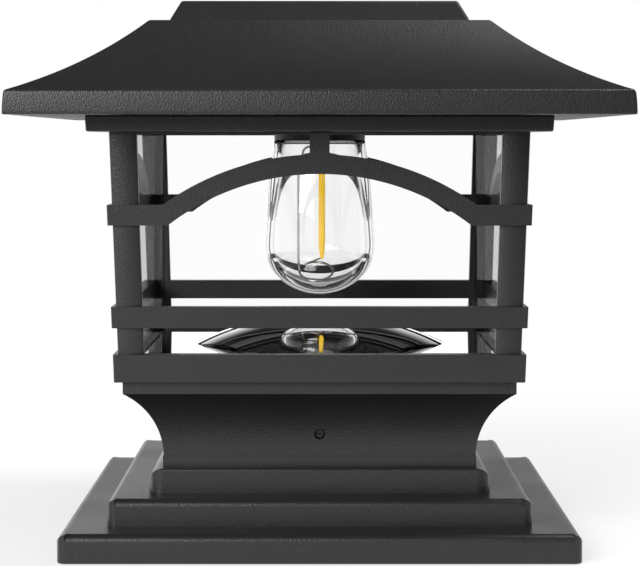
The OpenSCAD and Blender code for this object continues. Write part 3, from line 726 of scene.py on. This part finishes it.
def slotted_screw(head_r, head_h, shank_r, length):
    """Slotted screw with a softened head; its top is at z = 0."""
    head = lathe(
        [(0.001, 0), (0.8 * head_r, 0), (head_r, -0.3 * head_h), (head_r, -head_h), (shank_r, -head_h),
         (shank_r, -length + shank_r), (0.3 * shank_r, -length), (0.001, -length)], 40, closed=False,
    )
    slot_half = 0.16 * head_r
    slot = block((-2 * head_r, -slot_half, -0.5 * head_h), (2 * head_r, slot_half, head_h))
    return combined(head, slot, "DIFFERENCE")


def screw_set(name, node, material, screw, places, body):
    """Identical screws at several places, as one piece."""
    mesh = bpy.data.meshes.new("screw")
    screw.to_mesh(mesh)
    screw.free()
    whole = bmesh.new()
    for place in places:
        copy = bmesh.new()
        copy.from_mesh(mesh)
        placed(copy, place)
        whole = merged([whole, copy])
    bpy.data.meshes.remove(mesh)
    return finish_piece(name, whole, material, body, [node])


def quarter_turns(matrix, count=4):
    return [Matrix.Rotation(2 * math.pi * i / count, 4, "Z") @ matrix for i in range(count)]


def all_screws():
    neck_place = Matrix.Translation((0, -NECK_FOOT_HALF + 0.35, BASE_TOP + NECK_SCREW_H))
    neck_place = neck_place @ Matrix.Rotation(math.pi / 2, 4, "X")
    screw_set("neck_screws", "lock_screws", SCREW_BLACK,
              slotted_screw(NECK_SCREW_R, 1.3, 1.2, 6.0), quarter_turns(neck_place, 2), "lantern")
    tray_top = node_levels("tray_screws")[1]
    screw_set("floor_screws", "tray_screws", STEEL, slotted_screw(2.6, 1.2, 1.25, 9),
              quarter_turns(Matrix.Translation((0, -48.5, tray_top))), "lantern")
    collar_top = node_levels("collar_screws")[1]
    screw_set("collar_head_screws", "collar_screws", STEEL, slotted_screw(2.1, 1.1, 1.0, 4.2),
              quarter_turns(Matrix.Translation((0, -53.4, collar_top))), "lantern")
    deck_low = node_levels("deck_screws")[0]
    deck_place = Matrix.Translation((73, 73, deck_low)) @ Matrix.Rotation(math.pi, 4, "X")
    screw_set("eave_screws", "deck_screws", STEEL, slotted_screw(2.7, 1.2, 1.25, 7),
              quarter_turns(deck_place), "head")


# ---------------------------------------------------------------- window frames

def cage_half(z):
    return CAGE_FOOT_HALF + (z - WIDE_RAIL_TOP) * CAGE_LEAN


def rail_ring(low, high):
    """Square rail that stands proud of the corner posts."""
    profile = [(cage_half(z) + RAIL_PROUD, z) for z in (low, high)]
    profile += [(cage_half(z) - CAGE_T, z) for z in (high, low)]
    bm = square_form(profile)
    round_edges(bm, 0.45, 3, lambda e: is_hip(e) and abs(middle(e).x) > CAGE_FOOT_HALF)
    round_edges(bm, RAIL_EDGE, 4, lambda e: max(abs(middle(e).x), abs(middle(e).y)) > CAGE_FOOT_HALF + 0.5)
    return bm


def corner_posts():
    """Angle-shaped corner posts with slightly crowned faces, leaning outward."""
    low, high = NECK_TOP + 3.5, HEAD_RAIL_TOP
    leg = lambda z: cage_half(z) - (CAGE_FOOT_HALF - POST_LEG + POST_LEAN * (z - WIDE_RAIL_TOP))
    corner = lambda z: Vector((-cage_half(z), -cage_half(z), z))
    w, t = leg(low), CAGE_T
    strips = 6
    crowned = [(w * i / strips, -POST_CROWN * (1 - (2 * i / strips - 1) ** 2)) for i in range(strips + 1)]
    outline = [(v, u) for u, v in reversed(crowned)] + crowned[1:] + [(w, t), (t, t), (t, w)]
    bm = bmesh.new()
    verts = [bm.verts.new(corner(low) + Vector((u, v, 0))) for u, v in outline]
    face = bm.faces.new(verts)
    lifted = bmesh.ops.extrude_face_region(bm, geom=[face])
    tops = [item for item in lifted["geom"] if isinstance(item, bmesh.types.BMVert)]
    for vert in tops:
        vert.co = corner(high) + (vert.co - corner(low)) * (leg(high) / w)
    bmesh.ops.recalc_face_normals(bm, faces=bm.faces)
    upright = lambda e: abs(e.verts[0].co.z - e.verts[1].co.z) > 10
    round_edges(bm, 0.4, 3, upright, least_angle=40)
    return repeated(bm, 4)


def head_ring():
    """Rail along the top of the windows, mostly hidden in the collar."""
    low, high = COLLAR_Z - HEAD_RAIL_H, HEAD_RAIL_TOP
    profile = [(cage_half(low) - 0.05, low), (cage_half(high) - 0.05, high)]
    profile += [(cage_half(high) - CAGE_T + 0.1, high), (cage_half(low) - CAGE_T + 0.1, low)]
    bm = square_form(profile)
    round_edges(bm, 0.25, 2, lambda e: near(middle(e).z, low) and not is_hip(e))
    return bm


def lean_back(bm, front_y, back_y):
    """Moves a flat form's front and back onto the leaning faces of the cage."""
    for vert in bm.verts:
        proud = RAIL_PROUD if near(vert.co.y, front_y) else -CAGE_T
        vert.co.y = -(cage_half(vert.co.z) + proud)


def arched_band():
    """Arched bar with tabs that wrap the corners, all the way round."""
    front_y, back_y = -1.0, 1.0
    tab_top = TAB_Z + TAB_H
    low_x = math.sqrt(ARCH_R ** 2 - (TAB_Z - ARCH_Z) ** 2)
    high_r = ARCH_R + ARCH_H
    high_x = math.sqrt(high_r ** 2 - (tab_top - ARCH_Z) ** 2)
    low_turn = math.degrees(math.acos(low_x / ARCH_R))
    high_turn = math.degrees(math.acos(high_x / high_r))
    far = cage_half(TAB_Z) + RAIL_PROUD
    low_line = [(-far, TAB_Z)] + arc((0, ARCH_Z), ARCH_R, 180 - low_turn, low_turn, 48) + [(far, TAB_Z)]
    high_line = [(-far, tab_top)] + arc((0, ARCH_Z), high_r, 180 - high_turn, high_turn, 48)
    high_line += [(far, tab_top)]
    bm = bmesh.new()
    loops = []
    for line in (low_line, high_line):
        verts = [bm.verts.new((x, front_y, z)) for x, z in line]
        loops += [bm.edges.new(pair) for pair in zip(verts, verts[1:])]
    front = bmesh.ops.bridge_loops(bm, edges=loops)["faces"]
    back = bmesh.ops.extrude_face_region(bm, geom=front)
    moved = [item for item in back["geom"] if isinstance(item, bmesh.types.BMVert)]
    bmesh.ops.translate(bm, vec=(0, back_y - front_y, 0), verts=moved)
    ends = [v for v in bm.verts if near(abs(v.co.x), far)]
    lean_back(bm, front_y, back_y)
    for vert in ends:
        vert.co.x = math.copysign(vert.co.y, vert.co.x)
    inner_ends = [f for f in bm.faces if all(v in ends for v in f.verts)]
    bmesh.ops.delete(bm, geom=inner_ends, context="FACES")
    repeated(bm, 4)
    bmesh.ops.remove_doubles(bm, verts=bm.verts, dist=0.01)
    bmesh.ops.recalc_face_normals(bm, faces=bm.faces)
    return bm


def stubs():
    """Upright between the crown of each arch and the collar, flared at both ends."""
    front_y, back_y = -1.0, 1.0
    top, foot = COLLAR_Z - 0.2, ARCH_Z + ARCH_R + ARCH_H
    steps = 5
    flare = [(STUB_FILLET * (1 - math.sin(math.pi / 2 * i / steps)),
              STUB_FILLET * (1 - math.cos(math.pi / 2 * i / steps))) for i in range(steps + 1)]
    side = [(STUB_HALF + STUB_FILLET, foot - 2)]
    side += [(STUB_HALF + out, foot + up - 0.12) for out, up in flare]
    side += [(STUB_HALF + out, top - HEAD_RAIL_H - up + 0.2) for out, up in reversed(flare)]
    side += [(STUB_HALF + STUB_FILLET, top)]
    bm = bmesh.new()
    loops = []
    for hand in (-1, 1):
        verts = [bm.verts.new((hand * x, front_y, z)) for x, z in side]
        loops += [bm.edges.new(pair) for pair in zip(verts, verts[1:])]
    front = bmesh.ops.bridge_loops(bm, edges=loops)["faces"]
    back = bmesh.ops.extrude_face_region(bm, geom=front)
    moved = [item for item in back["geom"] if isinstance(item, bmesh.types.BMVert)]
    bmesh.ops.translate(bm, vec=(0, back_y - front_y, 0), verts=moved)
    lean_back(bm, front_y, back_y)
    bmesh.ops.recalc_face_normals(bm, faces=bm.faces)
    return repeated(bm, 4)


def one_side(bm):
    """The quarter of a four-sided form that faces -Y, cut along the mitres and closed."""
    for hand in (-1, 1):
        bmesh.ops.bisect_plane(
            bm, geom=bm.verts[:] + bm.edges[:] + bm.faces[:], plane_co=(0, 0, 0),
            plane_no=(hand, 1, 0), clear_outer=True,
        )
        rims = [e for e in bm.edges if e.is_boundary]
        bmesh.ops.holes_fill(bm, edges=rims, sides=0)
    bmesh.ops.recalc_face_normals(bm, faces=bm.faces)
    return bm


def window_frames():
    """The four sides of the cage, each one moulding."""
    rail_faces = lambda e: max(abs(middle(e).x), abs(middle(e).y)) > CAGE_FOOT_HALF + 1.2
    band = combined(arched_band(), stubs(), "UNION")
    round_edges(band, 0.4, 3, lambda e: is_hip(e) and rail_faces(e))
    round_edges(band, RAIL_EDGE, 3, rail_faces, least_angle=40)
    parts = [
        one_side(band),
        one_side(rail_ring(NECK_TOP, WIDE_RAIL_TOP)),
        one_side(rail_ring(NARROW_RAIL_Z, NARROW_RAIL_Z + NARROW_RAIL_H)),
        one_side(head_ring()),
        one_side(corner_posts()),
    ]
    side = merged(parts)
    mesh = bpy.data.meshes.new("side")
    side.to_mesh(mesh)
    side.free()
    for turn, hand in enumerate(("front", "right", "back", "left")):
        bm = bmesh.new()
        bm.from_mesh(mesh)
        placed(bm, Matrix.Rotation(turn * math.pi / 2, 4, "Z"))
        finish_piece(f"window_frame_{hand}", bm, SHELL, "lantern", [f"frame_{hand}"])
    bpy.data.meshes.remove(mesh)


# ---------------------------------------------------------------- collar, shade and mirror

def window_collar():
    recess = cage_half(HEAD_RAIL_TOP) + 0.2
    profile = [(COLLAR_HALF, COLLAR_Z), (COLLAR_HALF + 0.3, EAVE_Z), (COLLAR_INNER, EAVE_Z)]
    profile += [(COLLAR_INNER, HEAD_RAIL_TOP), (recess, HEAD_RAIL_TOP), (recess, COLLAR_Z)]
    bm = square_form(profile)
    outside = lambda e: max(abs(middle(e).x), abs(middle(e).y)) > COLLAR_HALF - 0.5
    round_edges(bm, SOFT, 3, lambda e: is_hip(e) and outside(e))
    round_edges(bm, 0.35, 3, outside)
    narrow = rod(1.3, COLLAR_Z - 1, EAVE_Z - 1, 32)
    wide = rod(2.3, EAVE_Z - 1.3, EAVE_Z + 2, 40)
    for cutter in (narrow, wide):
        placed(cutter, Matrix.Translation((0, -53.4, 0)))
        bm = combined(bm, repeated(cutter, 4), "DIFFERENCE")
    return finish_piece("window_collar", bm, SHELL, "lantern", ["top_collar"])


def square_shade():
    """Clear four-sided shade with rounded corners."""
    halves = [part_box("clear_shade")[1].x / MM - (SHADE_TOP - z) * 0.0062 for z in (SHADE_Z, SHADE_TOP)]
    profile = [(halves[0], SHADE_Z), (halves[1], SHADE_TOP)]
    profile += [(halves[1] - SHADE_T, SHADE_TOP), (halves[0] - SHADE_T, SHADE_Z)]
    bm = square_form(profile)
    round_edges(bm, 2.4, 8, lambda e: is_hip(e) and abs(middle(e).x) > halves[0] - 0.5
                and abs(e.verts[0].co.z - e.verts[1].co.z) > 10)
    round_edges(bm, 1.0, 6, lambda e: is_hip(e) and abs(middle(e).x) < halves[0] - 0.5
                and abs(e.verts[0].co.z - e.verts[1].co.z) > 10)
    round_edges(bm, 0.25, 2, lambda e: near(e.verts[0].co.z, e.verts[1].co.z, 0.01), least_angle=60)
    return finish_piece("square_clear_shade", bm, SHADE_CLEAR, "lantern", ["clear_shade"])


def mirror_dome():
    """Mirrored plate with a shallow dome, one sheet given its thickness."""
    plate_z = node_levels("reflector")[0] + MIRROR_T
    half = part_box("reflector")[1].x / MM
    ball_r = (DOME_R ** 2 + DOME_H ** 2) / (2 * DOME_H)
    centre = (0, plate_z + DOME_H - ball_r)
    rise = math.degrees(math.asin(DOME_R / ball_r))
    fillet = 1.2
    profile = [(DOME_R + fillet, plate_z)] + arc(centre, ball_r, 90 - rise, 90, 40)
    bm = lathe(profile[:-1] + [(0.0005, plate_z + DOME_H)], 128, closed=False)
    bmesh.ops.delete(bm, geom=[f for f in bm.faces if len(f.verts) > 60], context="FACES_ONLY")
    square = block((-half, -half, plate_z - 1), (half, half, plate_z))
    walls = [f for f in square.faces if f.calc_center_median().z < plate_z - 0.1]
    bmesh.ops.delete(square, geom=walls, context="FACES")
    bmesh.ops.subdivide_edges(square, edges=square.edges[:], cuts=31, use_grid_fill=False)
    bmesh.ops.delete(square, geom=square.faces[:], context="FACES_ONLY")
    bm = merged([bm, square])
    rims = [e for e in bm.edges if e.is_boundary or e.is_wire]
    bmesh.ops.bridge_loops(bm, edges=rims)
    bmesh.ops.recalc_face_normals(bm, faces=bm.faces)
    if sum(f.normal.z for f in bm.faces) < 0:
        bmesh.ops.reverse_faces(bm, faces=bm.faces)
    bmesh.ops.solidify(bm, geom=bm.faces[:], thickness=MIRROR_T)
    return finish_piece("mirror_dome", bm, MIRROR, "lantern", ["reflector"], 20, False)


# ---------------------------------------------------------------- bulb

def bulb_side(inset, foot, top):
    """Side of the bulb from its tip up: flattened round end, then a long slight taper."""
    wide_z = WIDE_RAIL_TOP + BULB_WIDE_UP
    steps = 26
    points = []
    for i in range(steps + 1):
        angle = math.pi / 2 * i / steps
        points.append(((BULB_R - inset) * math.sin(angle),
                       wide_z - (wide_z - BULB_LOW - foot) * math.cos(angle)))
    for i in range(1, steps + 1):
        rise = (top - wide_z) * i / steps
        points.append((BULB_R - inset - 0.055 * rise - 0.00125 * rise ** 2, wide_z + rise))
    points[0] = (0.0005, points[0][1])
    return points


def bulb_envelope():
    """Thick clear envelope, closed inside its collar."""
    outer = bulb_side(0, 0, BULB_Z)
    sleeve = outer[-1][0] - 1.3
    neck = [(sleeve, BULB_Z + 0.4), (sleeve, BULB_Z + 4.6), (sleeve - BULB_T, BULB_Z + 4.6)]
    inner = bulb_side(BULB_T, BULB_FOOT_T, BULB_Z)
    inner.append((sleeve - BULB_T, BULB_Z + 1.2))
    bm = lathe(outer + neck + inner[::-1], 128, closed=False)
    return finish_piece("bulb_envelope", bm, BULB_CLEAR, "head", ["bulb_glass"], 40, False)


def bulb_socket():
    """Black ring around the bulb's neck, with a flange that sits on the deck."""
    top = node_levels("bulb_collar")[1]
    inner = BULB_NECK_R - 1.4
    deck = top - 2
    profile = [(inner, BULB_Z), (BULB_NECK_R - 0.3, BULB_Z), (BULB_NECK_R, BULB_Z + 0.3)]
    profile += [(BULB_NECK_R, deck), (17.8, deck), (17.8, top - 0.4), (17.4, top), (inner, top)]
    bm = lathe(profile, 96)
    return finish_piece("bulb_socket", bm, SHELL, "head", ["bulb_collar"])


def led_filament():
    """Coated filament: a round rod with a tapered tip and a domed end."""
    taper = 5
    tip = [(0.0005, FILAMENT_LOW), (0.3 * FILAMENT_R, FILAMENT_LOW + 0.15)]
    tip.append((0.5 * FILAMENT_R, FILAMENT_LOW + 0.6))
    rod_side = [(FILAMENT_R * 0.82, FILAMENT_LOW + 0.5 * taper), (FILAMENT_R, FILAMENT_LOW + taper)]
    end = [(FILAMENT_R, FILAMENT_TOP - 0.5), (0.6 * FILAMENT_R, FILAMENT_TOP), (0.0005, FILAMENT_TOP)]
    bm = lathe(tip + rod_side + end, 32, closed=False)
    placed(bm, Matrix.Translation((FILAMENT_X, 0, 0)))
    return finish_piece("led_filament", bm, PHOSPHOR_WITH_PAINTED_GLOW, "head", ["filament"])


def wire_run(points):
    """Round wire through a few straight points, as a tube of rings joined end to end."""
    bm = bmesh.new()
    rings = []
    for at, along in points:
        ring = bmesh.ops.create_circle(bm, segments=12, radius=WIRE_R)["verts"]
        turn = Vector(along).to_track_quat("Z", "Y").to_matrix().to_4x4()
        bmesh.ops.transform(bm, matrix=Matrix.Translation(at) @ turn, verts=ring)
        rings.append(ring)
    for low, high in zip(rings, rings[1:]):
        edges = [e for e in bm.edges if all(v in low for v in e.verts) or all(v in high for v in e.verts)]
        bmesh.ops.bridge_loops(bm, edges=edges)
    bmesh.ops.holes_fill(bm, edges=[e for e in bm.edges if e.is_boundary], sides=0)
    bmesh.ops.recalc_face_normals(bm, faces=bm.faces)
    return bm


def lead_wires():
    """Straight wire above the filament, and a bent one beside it that loops under its tip."""
    top = node_levels("filament_wires")[1]
    centre = Vector((LOOP_X, 0, LOOP_Z))
    across = Vector((1, 0, 0))
    deep = Vector((0, -math.cos(LOOP_SLANT), -math.sin(LOOP_SLANT)))
    down = (0, 0, -1)
    points = [((WIRE_TOP_X, 0, top), down)]
    points += [((WIRE_TOP_X, 0, 117.4), (-0.3, 0, -1)), ((-1.7, 0, 116.5), (-1, 0, -0.2))]
    for i in range(9):
        angle = math.pi / 2 * (1 + i / 8)
        spot = (BEND_X + BEND_R * math.cos(angle), 0, BEND_Z + BEND_R * math.sin(angle))
        points.append((spot, (-math.sin(angle), 0, math.cos(angle))))
    points += [((-6.3, 0, 110.2), (-0.2, 0, -1)), ((WIRE_X, 0, 108), down), ((WIRE_X, 0, LOOP_Z + 3), down)]
    steps = 40
    for i in range(steps + 1):
        angle = math.pi + 2 * math.pi * 0.86 * i / steps
        spot = centre + LOOP_R * (across * math.cos(angle) - deep * math.sin(angle))
        way = -across * math.sin(angle) - deep * math.cos(angle)
        points.append((spot, way))
    points.append(((FILAMENT_X, 0, FILAMENT_LOW + 0.6), (0.3, 0, 1)))
    upper = placed(rod(WIRE_R, FILAMENT_TOP - 0.2, top, 16), Matrix.Translation((FILAMENT_X, 0, 0)))
    bm = merged([wire_run(points), upper])
    return finish_piece("lead_wires", bm, WIRE, "head", ["filament_wires"])


# ---------------------------------------------------------------- roof and solar panel

def flared_roof():
    """Upright fascia, hollow slopes and a flat top, as one hollow shell."""
    fascia_top = EAVE_Z + FASCIA_H
    edge = (EAVE_HALF - FASCIA_LEAN * FASCIA_H, fascia_top)
    top = (48.93, ROOF_TOP)
    chord = Vector((top[0] - edge[0], top[1] - edge[1]))
    side = Vector((-chord.y, chord.x)).normalized() * -1
    reach = math.sqrt(ROOF_CURVE_R ** 2 - (chord.length / 2) ** 2)
    centre = Vector(edge) + chord / 2 + side * reach
    if centre.y < fascia_top:
        centre = Vector(edge) + chord / 2 - side * reach
    turn = lambda point: math.degrees(math.atan2(point[1] - centre.y, point[0] - centre.x))
    slope = arc(centre, ROOF_CURVE_R, turn(edge), turn(top), 28)
    inner_slope = arc(centre, ROOF_CURVE_R + ROOF_WALL, turn(edge) - 0.6, turn(top) + 0.4, 14)
    steps = 6
    rises = [FASCIA_H * i / steps for i in range(steps)]
    profile = [(EAVE_HALF - FASCIA_LEAN * rise * rise / FASCIA_H, EAVE_Z + rise) for rise in rises] + slope
    profile += [(30, ROOF_TOP), (30, ROOF_TOP - ROOF_WALL)]
    profile += [(point[0], min(point[1], ROOF_TOP - ROOF_WALL)) for point in reversed(inner_slope)]
    profile += [(EAVE_HALF - ROOF_WALL, EAVE_Z)]
    bm = square_form(profile)
    outside = lambda e: max(abs(middle(e).x), abs(middle(e).y)) > EAVE_HALF - 1.2
    hip = lambda e: is_hip(e) and middle(e).z > EAVE_Z and (
        abs(middle(e).x) > EAVE_HALF - 1.2 or abs(
            math.hypot(abs(middle(e).x) - centre.x, middle(e).z - centre.y) - ROOF_CURVE_R) < 0.2)
    round_edges(bm, 0.7, 3, hip, least_angle=5)
    round_edges(bm, 0.5, 3, lambda e: near(e.verts[0].co.z, fascia_top) and near(e.verts[1].co.z, fascia_top)
                and outside(e))
    round_edges(bm, 0.35, 2, lambda e: near(middle(e).z, EAVE_Z) and outside(e))
    round_edges(bm, 0.9, 3, lambda e: near(e.verts[0].co.z, ROOF_TOP) and near(e.verts[1].co.z, ROOF_TOP)
                and max(abs(middle(e).x), abs(middle(e).y)) > 45)
    return finish_piece("flared_roof", bm, SHELL, "head", ["roof_shell"])


def panel_surround():
    """Sloping frame around the solar panel with a lip over its cover."""
    lip_z = PANEL_TOP - 1.2
    profile = [(PANEL_FOOT_HALF, ROOF_TOP), (PANEL_TOP_HALF, PANEL_TOP), (PANEL_OPENING, PANEL_TOP)]
    profile += [(PANEL_OPENING, lip_z), (PANEL_RECESS, lip_z), (PANEL_RECESS, ROOF_TOP)]
    bm = square_form(profile)
    top_rim = lambda e: near(e.verts[0].co.z, PANEL_TOP) and near(e.verts[1].co.z, PANEL_TOP)
    round_edges(bm, PANEL_EDGE, 3, lambda e: is_hip(e) and abs(middle(e).x) > PANEL_RECESS + 1)
    round_edges(bm, PANEL_EDGE, 4, lambda e: top_rim(e) and max(abs(middle(e).x), abs(middle(e).y)) > 38)
    round_edges(bm, CRISP, 2, lambda e: top_rim(e) and max(abs(middle(e).x), abs(middle(e).y)) < 37)
    return finish_piece("panel_surround", bm, SHELL, "head", ["panel_frame"])


def panel_cover():
    low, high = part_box("panel_glass")
    bm = block(low / MM, high / MM)
    round_edges(bm, 0.3, 2, lambda e: True)
    return finish_piece("panel_cover", bm, PANEL_CLEAR, "head", ["panel_glass"])


stepped_skirt()
coved_neck()
all_screws()
window_frames()
window_collar()
square_shade()
mirror_dome()
bulb_envelope()
bulb_socket()
led_filament()
lead_wires()
flared_roof()
panel_surround()
panel_cover()


# ---------------------------------------------------------------- floor, background and lights

FLOOR_R = 0.45
FLOOR_LIFT = 0.55
FLOOR_GREY = 0.45
ROOM_LEFT = 0.6
ROOM_RIGHT = 0.03
CEILING = 0.02
BACK_LEFT = 1.7
BACK_RIGHT = 1.0
SKY_LEVEL = 0.5

def studio_floor():
    """Pale floor that keeps the object's shadow and turns into the white background further out."""
    bm = bmesh.new()
    bmesh.ops.create_circle(bm, cap_ends=True, segments=64, radius=FLOOR_R)
    mesh = bpy.data.meshes.new("studio_floor")
    bm.to_mesh(mesh)
    bm.free()
    floor = bpy.data.objects.new("studio_floor", mesh)
    floor.location.z = -0.0002
    scene.collection.objects.link(floor)
    finish = Finish("studio_floor")
    tree = finish.tree
    finish.plain(Roughness=1.0, Specular_IOR_Level=0.0)
    finish.shader.inputs["Base Color"].default_value = (FLOOR_GREY, FLOOR_GREY, FLOOR_GREY, 1)
    ray = tree.nodes.new("ShaderNodeLightPath")
    seen = maths(tree, "ADD", ray.outputs["Is Camera Ray"], ray.outputs["Is Transmission Ray"])
    seen = maths(tree, "ADD", seen, ray.outputs["Is Glossy Ray"], clamp=True)
    reach = tree.nodes.new("ShaderNodeVectorMath")
    reach.operation = "LENGTH"
    tree.links.new(finish.place, reach.inputs[0])
    fade = tree.nodes.new("ShaderNodeMapRange")
    fade.interpolation_type = "SMOOTHSTEP"
    fade.inputs["From Min"].default_value = 0.16
    fade.inputs["From Max"].default_value = 0.9 * FLOOR_R
    tree.links.new(reach.outputs["Value"], fade.inputs["Value"])
    glow = tree.nodes.new("ShaderNodeEmission")
    tree.links.new(seen, glow.inputs["Strength"])
    lift = tree.nodes.new("ShaderNodeEmission")
    tree.links.new(maths(tree, "MULTIPLY", seen, FLOOR_LIFT), lift.inputs["Strength"])
    lifted = tree.nodes.new("ShaderNodeAddShader")
    tree.links.new(finish.shader.outputs[0], lifted.inputs[0])
    tree.links.new(lift.outputs[0], lifted.inputs[1])
    whole = tree.nodes.new("ShaderNodeMixShader")
    tree.links.new(fade.outputs["Result"], whole.inputs[0])
    tree.links.new(lifted.outputs[0], whole.inputs[1])
    tree.links.new(glow.outputs[0], whole.inputs[2])
    underside = tree.nodes.new("ShaderNodeNewGeometry")
    one_sided = tree.nodes.new("ShaderNodeMixShader")
    tree.links.new(underside.outputs["Backfacing"], one_sided.inputs[0])
    tree.links.new(whole.outputs[0], one_sided.inputs[1])
    tree.links.new(tree.nodes.new("ShaderNodeBsdfTransparent").outputs[0], one_sided.inputs[2])
    tree.links.new(one_sided.outputs[0], finish.output.inputs["Surface"])
    mesh.materials.append(finish.material)
    floor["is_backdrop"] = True


def ramp(tree, value, start, stop, low, high):
    """Smooth change from low to high as a value goes from start to stop."""
    node = tree.nodes.new("ShaderNodeMapRange")
    node.interpolation_type = "SMOOTHSTEP"
    tree.links.new(value, node.inputs["Value"])
    for name, number in (("From Min", start), ("From Max", stop), ("To Min", low), ("To Max", high)):
        node.inputs[name].default_value = number
    return node.outputs["Result"]


def white_world():
    """White backdrop behind the object, with a dim ceiling and a dim room in front for reflections."""
    world = bpy.data.worlds.new("studio")
    scene.world = world
    world.use_nodes = True
    tree = world.node_tree
    background = tree.nodes["Background"]
    ray = tree.nodes.new("ShaderNodeLightPath")
    coordinates = tree.nodes.new("ShaderNodeTexCoord")
    split = tree.nodes.new("ShaderNodeSeparateXYZ")
    tree.links.new(coordinates.outputs["Generated"], split.inputs[0])
    front = ramp(tree, split.outputs[0], -0.35, 0.3, ROOM_LEFT, ROOM_RIGHT)
    behind = ramp(tree, split.outputs[1], -0.35, 0.1, 0.0, 1.0)
    brighter_left = ramp(tree, split.outputs[0], -0.3, 0.3, BACK_LEFT, BACK_RIGHT)
    walls = maths(tree, "MAXIMUM", front, maths(tree, "MULTIPLY", behind, brighter_left))
    height = ramp(tree, split.outputs[2], 0.06, 0.42, 1.0, 0.0)
    lit_walls = maths(tree, "MULTIPLY", walls, height)
    mirrored = maths(tree, "MAXIMUM", lit_walls, CEILING)
    through = ray.outputs["Is Transmission Ray"]
    reflected = maths(tree, "SUBTRACT", ray.outputs["Is Glossy Ray"], through, clamp=True)
    glossy = maths(tree, "MULTIPLY", reflected, mirrored)
    seen = maths(tree, "ADD", ray.outputs["Is Camera Ray"], ray.outputs["Is Transmission Ray"], clamp=True)
    shown = maths(tree, "MAXIMUM", seen, glossy)
    diffuse = maths(tree, "MULTIPLY", ray.outputs["Is Diffuse Ray"], SKY_LEVEL)
    tree.links.new(maths(tree, "MAXIMUM", shown, diffuse), background.inputs["Strength"])
    background.inputs["Color"].default_value = (1, 1, 1, 1)


def soft_lamp(name, place, aim, size, power):
    data = bpy.data.lights.new(name, "AREA")
    data.shape = "RECTANGLE"
    data.size, data.size_y = size
    data.energy = power
    lamp = bpy.data.objects.new(name, data)
    lamp.location = place
    lamp.rotation_euler = (Vector(aim) - Vector(place)).to_track_quat("-Z", "Y").to_euler()
    scene.collection.objects.link(lamp)
    return lamp


studio_floor()
white_world()
soft_lamp("front_left_box", (-0.62, -1.03, 0.57), (0, 0, 0.11), (0.8, 0.68), 15)
soft_lamp("top_right_box", (0.45, 0.1, 1.15), (0.03, 0, 0.13), (0.4, 0.5), 5.5)

visual_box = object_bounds()
{"cad": [list(corner) for corner in cad_box], "visual": [list(corner) for corner in visual_box]}
